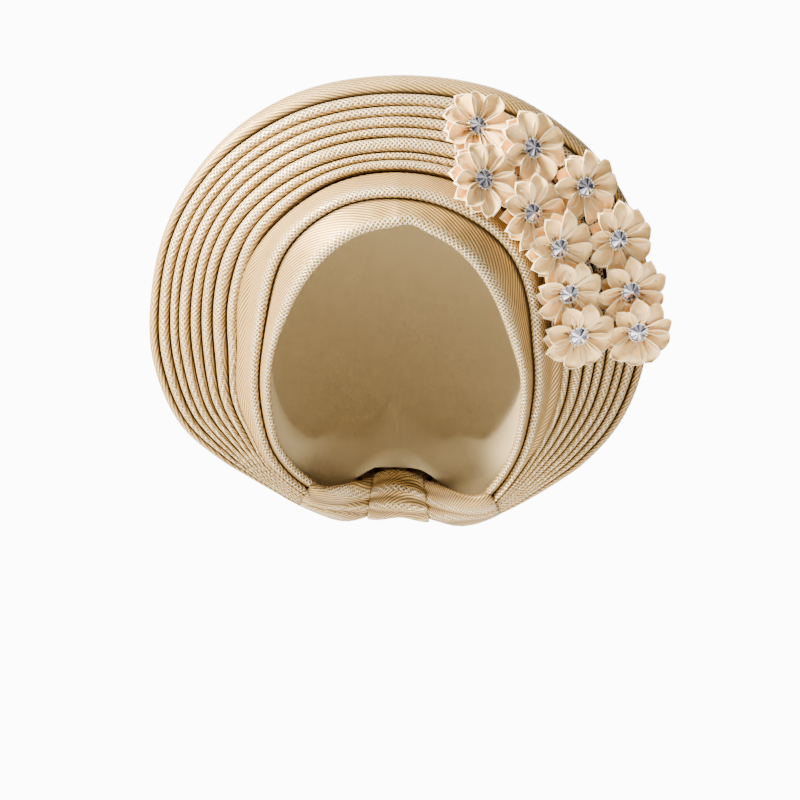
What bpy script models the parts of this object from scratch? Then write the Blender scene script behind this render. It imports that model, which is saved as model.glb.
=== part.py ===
"""A tied gele head tie: crown cap, two brow bands, a pleated fan, the cloth that closes
its back, a rolled nape with its knot, and eleven ribbon flowers with a set stone each.

The hollow takes a head from below. The front of the head tie faces -Y, +Z is up, and the
origin is the inside top of the cap. Every cloth piece is drawn in flat sections through
one axis, which runs along Y through the middle of the head: a section stands at an angle
from straight up, turning towards +X, and a point in it has a radius and a depth.
"""

import math

import bmesh
import bpy
from mathutils import Matrix, Vector
from mathutils.bvhtree import BVHTree

# The head that the cap fits
HEAD_WIDTH = 0.144
HEAD_LENGTH = 0.194
CROWN_HEIGHT = 0.080
NAPE_DROP = 0.100

# Cloth
CAP_WALL = 0.0014
BAND_WALL = 0.0012
FAN_WALL = 0.0011
DRAPE_WALL = 0.0013
CLEARANCE = 0.00035
MERGE_DISTANCE = 0.00001

# The two bands across the brow
LOWER_BAND_WIDTH = 0.0165
UPPER_BAND_WIDTH = 0.0158
BAND_SETBACK = 0.016
BAND_FOLD = 0.0038
BAND_HEM = 0.005
BAND_TUCK = 0.0030
BAND_CROWN = 0.0010
BAND_EDGE_TURN = 0.0012
BAND_FULL_WIDTH = 0.008
BROW_NOTCH = 0.0025
BROW_NOTCH_ANGLE = 8.0
BROW_NOTCH_SPREAD = 9.0

# The pleated fan
FAN_WIDTH = 0.056
FAN_SETBACK = 0.042
FAN_BULGE = 0.0035
PLEAT_RISE = 0.0050
PLEAT_FULL_PITCH = 0.0050
RIM_ROLL = 0.0060
OVERHANG_REACH = 0.0030
OVERHANG_RISE = 0.0022
FLANGE_TURN = 0.0012
FAN_END_ANGLE = 153.0
STATION_STEP = 9.0

# The cloth that closes the back
DRAPE_RUN = 0.090
DRAPE_BULGE = 0.100
DRAPE_GATHER = 0.0045
DRAPE_GATHERS = 9
DRAPE_STEPS = 6
DRAPE_END_ANGLE = 144.0

# The nape roll and its knot
ROLL_HALF_HEIGHT = 0.0095
ROLL_HALF_DEPTH = 0.0072
ROLL_END_HALF = 0.0055
ROLL_MARGIN = 0.0025
ROLL_SIDES = 10
KNOT_WALL = 0.0035
KNOT_CLEARANCE = 0.0012
KNOT_HALF_ANGLE = 9.0

# Ribbon flowers, stone settings and stones
FLOWER_RADIUS = 0.0205
FLOWER_HUB = 0.0062
FLOWER_STALK = 0.0026
FLOWER_WALL = 0.0011
FLOWER_CUP = 0.0032
FLOWER_LIFT = 0.0010
FLOWER_TILT = 22.0
FLOWER_PETALS = 8
SETTING_RADIUS = 0.0058
SETTING_HEIGHT = 0.0030
SETTING_LIP = 0.0007
SETTING_SIDES = 10
STONE_RADIUS = 0.0047
STONE_HEIGHT = 0.0032
STONE_FACETS = 8

# Shares of the head's own radius, and of the named widths, at each angle of the sections
RADIAL_SECTIONS = (
    # angle, brow, lower band, upper band, fan
    (-153, 1.125, 0.12, 0.21, 0.13),
    (-144, 1.150, 0.16, 0.23, 0.18),
    (-136, 1.148, 0.19, 0.34, 0.27),
    (-128, 1.105, 0.24, 0.44, 0.45),
    (-115, 1.030, 0.28, 0.73, 0.70),
    (-100, 0.920, 0.39, 0.78, 0.90),
    (-85, 0.815, 0.61, 0.95, 0.92),
    (-60, 0.690, 1.00, 0.93, 0.95),
    (-30, 0.612, 0.98, 0.93, 1.00),
    (0, 0.581, 0.85, 1.00, 0.985),
    (30, 0.599, 0.90, 1.04, 1.04),
    (60, 0.660, 1.08, 0.98, 1.03),
    (85, 0.764, 0.85, 0.99, 0.95),
    (100, 0.857, 0.61, 0.98, 0.88),
    (115, 0.985, 0.38, 0.86, 0.72),
    (128, 1.078, 0.25, 0.57, 0.54),
    (136, 1.132, 0.19, 0.34, 0.40),
    (144, 1.165, 0.16, 0.23, 0.26),
    (153, 1.185, 0.12, 0.21, 0.12),
)

# Shares of half the head's length, and of the named setbacks, alike on both sides
DEPTH_SECTIONS = (
    # angle, brow, lower band, upper band, fan
    (0, -0.887, 0.50, 1.00, 1.00),
    (30, -0.856, 0.56, 0.94, 1.00),
    (60, -0.763, 0.75, 1.00, 0.90),
    (85, -0.608, 0.94, 1.00, 0.74),
    (100, -0.485, 0.81, 1.00, 0.64),
    (115, -0.340, 0.69, 1.06, 0.52),
    (128, -0.175, 0.56, 0.88, 0.45),
    (136, -0.040, 0.42, 0.66, 0.48),
    (144, 0.110, 0.36, 0.46, 0.52),
    (153, 0.260, 0.32, 0.36, 0.56),
)

# Where each fold's edge lies, as a share of the way from the rim to the bands
PLEATS = (
    # over the brow, at the sides, at the gathers
    (0.200, 0.110, 0.150),
    (0.330, 0.220, 0.260),
    (0.435, 0.330, 0.370),
    (0.550, 0.430, 0.480),
    (0.650, 0.550, 0.590),
    (0.780, 0.680, 0.700),
    (0.870, 0.830, 0.800),
    (0.980, 0.965, 0.900),
)
PLEAT_SHOULDER = 0.28
PLEAT_EDGE = 0.72
PLEAT_UNDERCUT = 0.10

# The rim's turn to the back, as shares of its roll, from the hem to the front
RIM_TURN = (
    # radius, depth
    (-0.50, 2.00),
    (-0.08, 0.85),
    (0.00, 0.00),
)
RIM_FRONT = (0.61, 0.32)
RIM_UNDERSIDE = (-0.16, 0.95)

# Shares of the drape's run and bulge, and the angle at which it reaches the nape
DRAPE_SECTIONS = (
    # angle, run, bulge, nape angle
    (0, 1.00, 1.00, 180.0),
    (45, 0.85, 0.85, 172.0),
    (90, 0.50, 0.48, 164.0),
    (125, 0.25, 0.22, 158.0),
    (135, 0.18, 0.15, 157.0),
    (144, 0.08, 0.04, 155.0),
)

# The middle of the nape roll, as shares of the nape's drop and of the head's length
NAPE_CENTRE = (0.97, 0.38)

# One petal's outline from its tip to the next tip, as shares of the radius and the cup
PETAL_OUTLINE = (
    # reach, rise
    (1.00, 0.95),
    (0.88, 1.05),
    (0.60, 0.40),
    (0.88, 1.05),
)

# Each flower's place on the fan, from the rim, with its rise over the pleats and its turn
FLOWERS = (
    # angle, share of the way in from the rim, lift, turn in degrees
    (22.2, 0.60, 2.5, 0),
    (38.0, 0.58, 6.0, 14),
    (31.4, 1.03, 6.5, 30),
    (54.5, 0.49, 6.0, 8),
    (51.4, 0.98, 4.5, 21),
    (65.9, 0.96, 5.5, 4),
    (69.7, 0.44, 7.0, 17),
    (81.0, 0.99, 5.5, 11),
    (82.7, 0.41, 7.0, 33),
    (94.7, 0.92, 4.5, 26),
    (92.6, 0.34, 8.0, 2),
)


def smooth_step(low, high, value):
    """Turns from 0 at low to 1 at high with a soft start and end."""
    share = min(max((value - low) / (high - low), 0.0), 1.0)
    return share * share * (3.0 - 2.0 * share)


def table_value(table, column, angle):
    """Reads one column of a table of sections on a smooth curve through its rows."""
    angles = [row[0] for row in table]
    values = [row[column] for row in table]
    last = len(table) - 1
    index = max(i for i in range(last) if i == 0 or angles[i] <= angle)

    def slope(i):
        low, high = max(i - 1, 0), min(i + 1, last)
        return (values[high] - values[low]) / (angles[high] - angles[low])

    span = angles[index + 1] - angles[index]
    share = min(max((angle - angles[index]) / span, 0.0), 1.0)
    square, cube = share ** 2, share ** 3
    return (
        (2 * cube - 3 * square + 1) * values[index]
        + (cube - 2 * square + share) * span * slope(index)
        + (3 * square - 2 * cube) * values[index + 1]
        + (cube - square) * span * slope(index + 1)
    )


def place(angle, point):
    """Turns a section's point, radius and depth, into a point of the model."""
    turn = math.radians(angle)
    radius, depth = point
    return Vector((radius * math.sin(turn), depth, radius * math.cos(turn) - CROWN_HEIGHT))


def head_radius(angle):
    """The head's radius at its widest depth, in the section at this angle."""
    turn = math.radians(angle)
    height = CROWN_HEIGHT if math.cos(turn) > 0 else NAPE_DROP
    return 1.0 / math.hypot(math.sin(turn) * 2.0 / HEAD_WIDTH, math.cos(turn) / height)


def frame_between(start, end):
    """The unit step from start to end and the unit normal that faces out of the cloth."""
    along = (end - start).normalized()
    return along, Vector((along.y, -along.x))


class Section:
    """The lines that all cloth pieces share in the section at one angle."""

    def __init__(self, angle):
        half_length = HEAD_LENGTH / 2.0
        side = abs(angle)
        notch = math.exp(-(((angle - BROW_NOTCH_ANGLE) / BROW_NOTCH_SPREAD) ** 2))
        radius = table_value(RADIAL_SECTIONS, 1, angle) * head_radius(angle) + BROW_NOTCH * notch
        depth = table_value(DEPTH_SECTIONS, 1, side) * half_length
        self.angle = angle
        self.lower_width = table_value(RADIAL_SECTIONS, 2, angle) * LOWER_BAND_WIDTH
        self.upper_width = table_value(RADIAL_SECTIONS, 3, angle) * UPPER_BAND_WIDTH
        self.brow = Vector((radius, depth))
        radius += self.lower_width - BROW_NOTCH * notch
        depth += table_value(DEPTH_SECTIONS, 2, side) * BAND_SETBACK
        self.seam = Vector((radius, depth))
        radius += self.upper_width
        depth += table_value(DEPTH_SECTIONS, 3, side) * BAND_SETBACK
        self.edge = Vector((radius, depth))
        radius += table_value(RADIAL_SECTIONS, 4, angle) * FAN_WIDTH
        depth += table_value(DEPTH_SECTIONS, 4, side) * FAN_SETBACK
        self.rim = Vector((radius, depth))
        self.lower_frame = frame_between(self.brow, self.seam)
        self.upper_frame = frame_between(self.seam, self.edge)
        self.fan_frame = frame_between(self.edge, self.rim)
        self.fan_length = (self.rim - self.edge).length

    def fan_point(self, share, rise=0.0):
        """A point of the fan, by its share of the way from the rim to the bands."""
        along, out = self.fan_frame
        bulge = FAN_BULGE * 4.0 * share * (1.0 - share) * self.fan_length / FAN_WIDTH
        return self.rim - along * (share * self.fan_length) + out * (bulge + rise)


def pleat_shares(angle):
    """Where the folds lie in the section at this angle."""
    top = 1.0 - smooth_step(15.0, 75.0, abs(angle))
    gather = smooth_step(105.0, FAN_END_ANGLE, abs(angle))
    side = 1.0 - top - gather
    return [row[0] * top + row[1] * side + row[2] * gather for row in PLEATS]


def rim_roll(section):
    """How far the rim rolls over to the back: less where the fan is gathered."""
    return RIM_ROLL * max(0.5, min(1.0, section.fan_length / FAN_WIDTH))


def pleat_rise(width):
    """A fold's height over the one beneath it: tight folds lie flatter."""
    return PLEAT_RISE * width ** 2 / (width ** 2 + PLEAT_FULL_PITCH ** 2)


def lower_band_profile(section):
    """From the tuck under the upper band to the hem turned in at the brow."""
    along, out = section.lower_frame
    small = min(1.0, section.lower_width / BAND_FULL_WIDTH)
    width = (section.seam - section.brow).length
    brow = section.brow
    fold = BAND_FOLD * max(0.8, small)
    return [
        section.seam + section.upper_frame[0] * (0.33 * section.upper_width),
        section.seam,
        brow + along * (0.55 * width) + out * BAND_CROWN * small,
        brow + along * (BAND_EDGE_TURN * small),
        brow - out * (fold / 2.0),
        brow + along * (0.8 * BAND_EDGE_TURN * small) - out * fold,
        brow + along * (BAND_HEM * max(0.5, small)) - out * fold,
    ]


def upper_band_profile(section):
    """From the outer edge, under the fan, to the hem turned in over the lower band."""
    along, out = section.upper_frame
    small = min(1.0, section.upper_width / BAND_FULL_WIDTH)
    width = (section.edge - section.seam).length
    seam = section.seam + out * CLEARANCE
    return [
        section.edge,
        seam + along * (0.72 * width) + out * (0.28 * BAND_FOLD + 0.5 * BAND_CROWN * small),
        seam + along * (0.36 * width) + out * (0.64 * BAND_FOLD + BAND_CROWN * small),
        seam + along * (BAND_EDGE_TURN * small) + out * BAND_FOLD,
        seam + out * (BAND_FOLD / 2.0),
        seam + along * (0.33 * BAND_EDGE_TURN * small),
        seam + along * (BAND_TUCK * max(0.42, small)),
    ]


def fan_profile(section):
    """The fan's front line and its plain line, from the hem behind the rim to its flange.

    The front line rounds each fold over a shoulder and an edge. The plain line has one
    corner for each fold, and the back of the cloth follows it.
    """
    band_along, band_out = section.upper_frame
    roll = rim_roll(section)
    rim = section.rim
    hem = [rim + Vector(row) * roll for row in RIM_TURN]
    fan_along, fan_out = section.fan_frame
    inward, forward = RIM_FRONT
    front = hem + [rim - fan_along * (inward * roll) + fan_out * (forward * roll)]
    plain = list(hem)
    overhang = 1.0 - smooth_step(35.0, 75.0, abs(section.angle))
    shares = pleat_shares(section.angle)
    before = 0.0
    for number, share in enumerate(shares):
        pitch = share - before
        rise = pleat_rise(pitch * section.fan_length)
        last = number == len(shares) - 1
        shift = band_out * OVERHANG_RISE - band_along * OVERHANG_REACH
        shift *= overhang if last else 0.0
        if number:
            valley = section.fan_point(before - PLEAT_UNDERCUT * pitch)
            front.append(valley)
            plain.append(valley)
        front.append(section.fan_point(share - PLEAT_SHOULDER * pitch, rise) + shift)
        front.append(section.fan_point(share, rise * PLEAT_EDGE) + shift)
        plain.append(section.fan_point(share, rise * (1.0 + PLEAT_EDGE) / 2.0) + shift)
        before = share
    behind = BAND_WALL + CLEARANCE
    flange = [
        section.edge + band_along * FLANGE_TURN - band_out * (0.3 * behind),
        section.edge + band_along * (0.7 * FLANGE_TURN) - band_out * behind,
        section.edge - band_along * (0.45 * section.upper_width) - band_out * behind,
    ]
    return front + flange, plain + flange


def roll_section(angle):
    """Centre, long and short half sizes, and long direction of the nape roll's section."""
    side = math.copysign(1.0, angle)
    away = smooth_step(FAN_END_ANGLE, 180.0, abs(angle))
    end = Section(side * FAN_END_ANGLE)
    bundle = (end.rim + end.brow) / 2.0
    nape = Vector((NAPE_CENTRE[0] * NAPE_DROP, NAPE_CENTRE[1] * HEAD_LENGTH))
    centre = bundle.lerp(nape, away)
    end_half = (end.rim - end.brow).length / 2.0 + ROLL_MARGIN
    long_half = end_half + (ROLL_HALF_HEIGHT - end_half) * away
    short_half = ROLL_END_HALF + (ROLL_HALF_DEPTH - ROLL_END_HALF) * away
    across = (end.rim - end.brow).normalized()
    direction = across.lerp(Vector((1.0, 0.0)), away).normalized()
    return centre, long_half, short_half, direction


def roll_point(angle, toward, clear=0.0):
    """A point outside the nape roll's section, in the direction given, at a clear distance."""
    centre, long_half, short_half, direction = roll_section(angle)
    toward = toward.normalized()
    across = Vector((-direction.y, direction.x))
    reach = 1.0 / math.hypot(toward.dot(direction) / long_half, toward.dot(across) / short_half)
    return centre + toward * (reach + clear)


def knot_cover(angle):
    """How much room the knot takes round the roll at this angle."""
    return 1.0 - smooth_step(KNOT_HALF_ANGLE, 180.0 - FAN_END_ANGLE, 180.0 - abs(angle))


def stations(low, high, count):
    """Evenly spaced angles from low to high, both ends included."""
    return [low + (high - low) * i / count for i in range(count + 1)]


def make_material(name, colour, roughness, metallic=0.0, transmission=0.0):
    """One plain finish for each kind of piece."""
    material = bpy.data.materials.new(name)
    material.use_nodes = True
    shader = material.node_tree.nodes["Principled BSDF"]
    shader.inputs["Base Color"].default_value = (*colour, 1.0)
    shader.inputs["Roughness"].default_value = roughness
    shader.inputs["Metallic"].default_value = metallic
    shader.inputs["Transmission Weight"].default_value = transmission
    material.diffuse_color = (*colour, 1.0)
    return material


def add_object(name, mesh, material, collection):
    """Links a mesh to the head tie's collection under its own name."""
    piece = bpy.data.objects.new(name, mesh)
    mesh.materials.append(material)
    collection.objects.link(piece)
    return piece


def sheet_mesh(name, rows):
    """Joins rows of points into one open cloth surface."""
    shell = bmesh.new()
    grid = [[shell.verts.new(point) for point in row] for row in rows]
    for here, there in zip(grid, grid[1:]):
        for j in range(len(here) - 1):
            shell.faces.new((here[j], here[j + 1], there[j + 1], there[j]))
    mesh = bpy.data.meshes.new(name)
    shell.to_mesh(mesh)
    shell.free()
    mesh.shade_smooth()
    return mesh


def add_strip(body, here, there, front):
    """Triangles between two rings, cut so that the back of a wall follows its front."""
    for j in range(len(here)):
        k = (j + 1) % len(here)
        if here[j] == there[j] and here[k] == there[k]:
            continue
        if here[j] == there[j]:
            body.faces.new((here[j], here[k], there[k]))
        elif here[k] == there[k]:
            body.faces.new((here[j], here[k], there[j]))
        elif j < front:
            body.faces.new((here[j], here[k], there[k]))
            body.faces.new((here[j], there[k], there[j]))
        else:
            body.faces.new((here[j], here[k], there[j]))
            body.faces.new((here[k], there[k], there[j]))


def tube_mesh(name, rings, front, closed=False):
    """Joins rings of points into a closed body: capped at its ends, or joined end to end."""
    body = bmesh.new()
    grid = [[body.verts.new(point) for point in ring] for ring in rings]
    pairs = list(zip(grid, grid[1:]))
    if closed:
        pairs.append((grid[-1], grid[0]))
    for here, there in pairs:
        add_strip(body, here, there, front)
    if not closed:
        body.faces.new(grid[0])
        body.faces.new(reversed(grid[-1]))
    bmesh.ops.recalc_face_normals(body, faces=body.faces)
    mesh = bpy.data.meshes.new(name)
    body.to_mesh(mesh)
    body.free()
    mesh.shade_smooth()
    return mesh


def wall_ring(front, thickness, plain=None):
    """A drawn line of cloth and the line one wall behind it, as one closed ring."""
    points = plain or front
    behind = []
    for i, point in enumerate(points):
        before = (point - points[i - 1]).normalized() if i else None
        after = (points[i + 1] - point).normalized() if i + 1 < len(points) else None
        before = before or after
        after = after or before
        normal = Vector((before.y + after.y, -before.x - after.x)).normalized()
        lean = max(0.45, normal.dot(Vector((after.y, -after.x))))
        behind.append(point + normal * (thickness / lean))
    return list(front) + behind[::-1]


def add_section_cloth(name, profile, thickness, material, collection):
    """A cloth piece swept through the sections from one gather to the other."""
    count = round(2.0 * FAN_END_ANGLE / STATION_STEP)
    rings = []
    for angle in stations(-FAN_END_ANGLE, FAN_END_ANGLE, count):
        drawn = profile(Section(angle))
        front, plain = drawn if isinstance(drawn, tuple) else (drawn, None)
        rings.append([place(angle, point) for point in wall_ring(front, thickness, plain)])
    return add_object(name, tube_mesh(name, rings, len(front)), material, collection)


def cap_edge(angle):
    """The cap's hem: behind the lower band, and along the nape roll at the back."""
    section = Section(math.copysign(min(abs(angle), FAN_END_ANGLE), angle))
    along, out = section.lower_frame
    small = min(1.0, section.lower_width / BAND_FULL_WIDTH)
    behind = BAND_WALL + CLEARANCE
    hem = BAND_HEM * max(0.5, small) + 1.5 * BAND_WALL
    front = section.brow + along * hem - out * behind
    clear = 2.0 * CLEARANCE + (KNOT_WALL + KNOT_CLEARANCE) * knot_cover(angle)
    back = roll_point(angle, Vector((-1.0, -0.1)), clear)
    return front.lerp(back, smooth_step(FAN_END_ANGLE - 12.0, FAN_END_ANGLE, abs(angle)))


def cap_mesh(rings):
    """Joins the cap's sections all round, with its two poles each drawn to one point."""
    body = bmesh.new()
    last = len(rings[0]) - 1
    poles = {0: body.verts.new(rings[0][0]), last: body.verts.new(rings[0][last])}
    grid = []
    for ring in rings:
        grid.append([poles.get(j) or body.verts.new(point) for j, point in enumerate(ring)])
    for here, there in zip(grid, grid[1:] + grid[:1]):
        add_strip(body, here, there, len(here) // 2)
    bmesh.ops.recalc_face_normals(body, faces=body.faces)
    mesh = bpy.data.meshes.new("crown_cap")
    body.to_mesh(mesh)
    body.free()
    mesh.shade_smooth()
    return mesh


def add_cap(material, collection):
    """The crown cap: a bowl round the head's axis, from the back of the head to its hem."""
    rings = []
    for step in range(round(360.0 / STATION_STEP)):
        angle = step * STATION_STEP
        angle = angle - 360.0 if angle > 180.0 else angle
        edge = cap_edge(angle)
        radius = head_radius(angle) + CAP_WALL
        length = HEAD_LENGTH / 2.0 + CAP_WALL
        front = edge.y + 0.10 * HEAD_LENGTH / 2.0 * (1.0 + smooth_step(90.0, 180.0, abs(angle)))
        last = math.acos(max(-0.95, min(0.95, front / length)))
        bends = [last * ring / 4 for ring in range(5)]
        outer = [Vector((radius * math.sin(bend), length * math.cos(bend))) for bend in bends]
        rings.append([place(angle, point) for point in wall_ring(outer + [edge], CAP_WALL)])
    return add_object("crown_cap", cap_mesh(rings), material, collection)


def add_drape(material, collection):
    """The cloth from the rim over the back of the head, gathered down to the nape roll."""
    rows = []
    inset = Vector((FAN_WALL + CLEARANCE, 0.0))
    count = round(2.0 * DRAPE_END_ANGLE / STATION_STEP)
    for angle in stations(-DRAPE_END_ANGLE, DRAPE_END_ANGLE, count):
        section = Section(angle)
        roll = rim_roll(section)
        under_hem = place(angle, section.rim + Vector(RIM_UNDERSIDE) * roll - inset)
        start = place(angle, section.rim + Vector(RIM_TURN[0]) * roll - inset)
        nape_angle = math.copysign(table_value(DRAPE_SECTIONS, 3, abs(angle)), angle)
        clear = DRAPE_WALL + CLEARANCE + (KNOT_WALL + KNOT_CLEARANCE) * knot_cover(nape_angle)
        end = place(nape_angle, roll_point(nape_angle, Vector((-0.45, 0.90)), clear))
        run = table_value(DRAPE_SECTIONS, 1, abs(angle)) * DRAPE_RUN
        bulge = table_value(DRAPE_SECTIONS, 2, abs(angle)) * DRAPE_BULGE
        inward = (start - under_hem).normalized()
        first = start + inward * run
        second = end + (start - end) * 0.45 + Vector((0.0, bulge, 0.0))
        row = [under_hem, start]
        for step in range(1, DRAPE_STEPS + 1):
            t = step / DRAPE_STEPS
            point = (
                start * (1 - t) ** 3
                + first * (3 * t * (1 - t) ** 2)
                + second * (3 * t * t * (1 - t))
                + end * t ** 3
            )
            fold = math.cos(math.radians(angle) * DRAPE_GATHERS * 180.0 / DRAPE_END_ANGLE)
            swell = DRAPE_GATHER * fold * math.sin(math.pi * t) * t
            out = (point - Vector((0.0, 0.0, -CROWN_HEIGHT))).normalized()
            row.append(point + out * swell)
        rows.append(row[::-1])
    piece = add_object("back_drape", sheet_mesh("back_drape", rows), material, collection)
    wall = piece.modifiers.new("wall", "SOLIDIFY")
    wall.thickness = DRAPE_WALL
    wall.offset = -1.0
    return piece


def roll_ring(angle, clear):
    """One ring round the nape roll."""
    ring = []
    for step in range(ROLL_SIDES):
        turn = 2.0 * math.pi * step / ROLL_SIDES
        toward = Vector((math.cos(turn), math.sin(turn)))
        ring.append(place(angle, roll_point(angle, toward, clear)))
    return ring


def add_nape(cloth, collection):
    """The rolled nape, from gather to gather behind the neck, and the knot round it."""
    start = FAN_END_ANGLE + 0.15
    angles = stations(start, 360.0 - start, 12)
    turned = [angle if angle <= 180.0 else angle - 360.0 for angle in angles]
    rings = [roll_ring(angle, 0.0) for angle in turned]
    add_object("nape_roll", tube_mesh("nape_roll", rings, len(rings[0])), cloth, collection)
    knot_angles = stations(180.0 - KNOT_HALF_ANGLE, 180.0 + KNOT_HALF_ANGLE, 4)
    outer = []
    inner = []
    for angle in knot_angles:
        turned = angle if angle <= 180.0 else angle - 360.0
        away = (angle - 180.0) / KNOT_HALF_ANGLE
        swell = KNOT_WALL * (0.55 + 0.45 * math.cos(away * math.pi / 2.0))
        outer.append(roll_ring(turned, KNOT_CLEARANCE + swell))
        inner.append(roll_ring(turned, KNOT_CLEARANCE))
    knot = tube_mesh("nape_knot", outer + inner[::-1], len(outer[0]), closed=True)
    add_object("nape_knot", knot, cloth, collection)


def ring_points(radius, count, height=0.0):
    """Points on a level circle."""
    turns = [2.0 * math.pi * step / count for step in range(count)]
    return [Vector((radius * math.cos(turn), radius * math.sin(turn), height)) for turn in turns]


def add_petals(body, outline, hub):
    """Three triangles for each half petal, from the hub's ring to the outline."""
    for k in range(len(hub)):
        after = (k + 1) % len(hub)
        tip, side, notch = outline[2 * k], outline[2 * k + 1], outline[(2 * k + 2) % len(outline)]
        body.faces.new((hub[k], tip, side))
        body.faces.new((hub[k], side, hub[after]))
        body.faces.new((hub[after], side, notch))


def flower_mesh(stalk):
    """A ribbon flower: pointed petals that rise from a round hub, and a stalk behind it."""
    body = bmesh.new()
    outline = ring_points(FLOWER_RADIUS, 4 * FLOWER_PETALS)
    for j, point in enumerate(outline):
        reach, rise = PETAL_OUTLINE[j % 4]
        outline[j] = point * reach + Vector((0.0, 0.0, rise * FLOWER_CUP))
    wall = Vector((0.0, 0.0, FLOWER_WALL))
    hub = ring_points(FLOWER_HUB, 2 * FLOWER_PETALS)
    foot = [point + stalk for point in ring_points(FLOWER_STALK, 2 * FLOWER_PETALS)]
    front = [body.verts.new(point) for point in outline]
    back = [body.verts.new(point - wall) for point in outline]
    front_hub = [body.verts.new(point) for point in hub]
    back_hub = [body.verts.new(point * 0.8 - wall) for point in hub]
    end = [body.verts.new(point) for point in foot]
    add_petals(body, front, front_hub)
    add_petals(body, back, back_hub)
    add_strip(body, front, back, len(front))
    add_strip(body, back_hub, end, len(end))
    body.faces.new(front_hub)
    body.faces.new(end)
    bmesh.ops.recalc_face_normals(body, faces=body.faces)
    mesh = bpy.data.meshes.new("flower")
    body.to_mesh(mesh)
    body.free()
    return mesh


def turned_mesh(name, profile):
    """A short line in the XZ plane, for turning round Z."""
    mesh = bpy.data.meshes.new(name)
    edges = [(i, i + 1) for i in range(len(profile) - 1)]
    mesh.from_pydata([(radius, 0.0, height) for radius, height in profile], edges, [])
    return mesh


def add_turning(piece, steps):
    """Turns the line once round, with its ends closed on the axis."""
    turn = piece.modifiers.new("turn", "SCREW")
    turn.steps = steps
    turn.render_steps = steps
    turn.use_merge_vertices = True
    turn.merge_threshold = MERGE_DISTANCE
    return turn


def flower_frame(angle, share, lift, turn):
    """Where a flower sits on the fan and how it faces, as one matrix, and the way out."""

    def seat(at, rise=0.0):
        return place(at, Section(at).fan_point(share, rise))

    onward = (seat(angle + 3.0) - seat(angle - 3.0)).normalized()
    inward = (place(angle, Section(angle).edge) - place(angle, Section(angle).rim)).normalized()
    out = inward.cross(onward).normalized()
    tilt = math.radians(FLOWER_TILT)
    facing = (out * math.cos(tilt) + onward * math.sin(tilt)).normalized()
    right = onward.cross(facing).normalized()
    frame = Matrix((right, facing.cross(right), facing)).transposed().to_4x4()
    frame.translation = seat(angle, PLEAT_RISE + FLOWER_WALL + FLOWER_LIFT * lift)
    return frame @ Matrix.Rotation(math.radians(turn), 4, "Z"), out


def surface_tree(pieces):
    """All faces of some pieces, for measuring how far off they are."""
    points = []
    faces = []
    for piece in pieces:
        first = len(points)
        points += [vertex.co.copy() for vertex in piece.data.vertices]
        faces += [[first + i for i in face.vertices] for face in piece.data.polygons]
    return BVHTree.FromPolygons(points, faces)


def flower_stalk(frame, out, cloth):
    """The way from the hub down to the cloth, in the flower's own directions."""
    starts = ring_points(FLOWER_STALK, 2 * FLOWER_PETALS) + [Vector()]
    gaps = [cloth.ray_cast(frame @ start, -out)[3] for start in starts]
    turned = frame.to_3x3().inverted() @ -out
    return turned * (min(gap for gap in gaps if gap is not None) - CLEARANCE)


def add_flowers(cloth, satin, silver, crystal, collection):
    """Eleven flowers on the fan, each with a setting and a cut stone on its hub."""
    pocket = SETTING_HEIGHT - STONE_HEIGHT * 0.55
    cup = (
        (0.0, pocket - CLEARANCE),
        (STONE_RADIUS + CLEARANCE, SETTING_HEIGHT - SETTING_LIP),
        (SETTING_RADIUS - 0.6 * SETTING_LIP, SETTING_HEIGHT),
        (SETTING_RADIUS, SETTING_HEIGHT * 0.6),
        (SETTING_RADIUS * 0.8, 0.0),
        (0.0, 0.0),
    )
    girdle = SETTING_HEIGHT + CLEARANCE
    gem = (
        (0.0, girdle + STONE_HEIGHT * 0.35),
        (STONE_RADIUS * 0.58, girdle + STONE_HEIGHT * 0.35),
        (STONE_RADIUS, girdle + STONE_HEIGHT * 0.04),
        (STONE_RADIUS, girdle - STONE_HEIGHT * 0.04),
        (0.0, girdle - STONE_HEIGHT * 0.40),
    )
    for number, row in enumerate(FLOWERS, 1):
        frame, out = flower_frame(*row)
        mesh = flower_mesh(flower_stalk(frame, out, cloth))
        flower = add_object(f"flower_{number:02d}", mesh, satin, collection)
        seated = frame @ Matrix.Translation((0.0, 0.0, CLEARANCE))
        setting = add_object(f"setting_{number:02d}", turned_mesh("setting", cup), silver, collection)
        add_turning(setting, SETTING_SIDES)
        stone = add_object(f"stone_{number:02d}", turned_mesh("stone", gem), crystal, collection)
        add_turning(stone, STONE_FACETS)
        flower.matrix_world = frame
        setting.matrix_world = seated
        stone.matrix_world = seated


def build():
    for leftover in list(bpy.data.objects):
        bpy.data.objects.remove(leftover)
    collection = bpy.data.collections.new("gele_head_tie")
    bpy.context.scene.collection.children.link(collection)
    cloth = make_material("champagne_cloth", (0.72, 0.60, 0.42), 0.55)
    lining = make_material("cap_cloth", (0.62, 0.52, 0.37), 0.8)
    satin = make_material("peach_satin", (0.94, 0.72, 0.47), 0.35)
    silver = make_material("silver_setting", (0.75, 0.75, 0.76), 0.25, metallic=1.0)
    crystal = make_material("crystal", (0.93, 0.95, 0.98), 0.03, transmission=0.9)
    add_cap(lining, collection)
    add_section_cloth("brow_band_lower", lower_band_profile, BAND_WALL, cloth, collection)
    band = add_section_cloth("brow_band_upper", upper_band_profile, BAND_WALL, cloth, collection)
    fan = add_section_cloth("pleated_fan", fan_profile, FAN_WALL, cloth, collection)
    add_drape(cloth, collection)
    add_nape(cloth, collection)
    add_flowers(surface_tree([band, fan]), satin, silver, crystal, collection)


build()
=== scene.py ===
"""The look of a tied gele head tie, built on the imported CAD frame.

Metres, +Z up, the front faces -Y. Cloth is drawn in flat sections through one axis along Y,
as in the CAD part, but with round folds, creases and gathers.
"""

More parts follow.
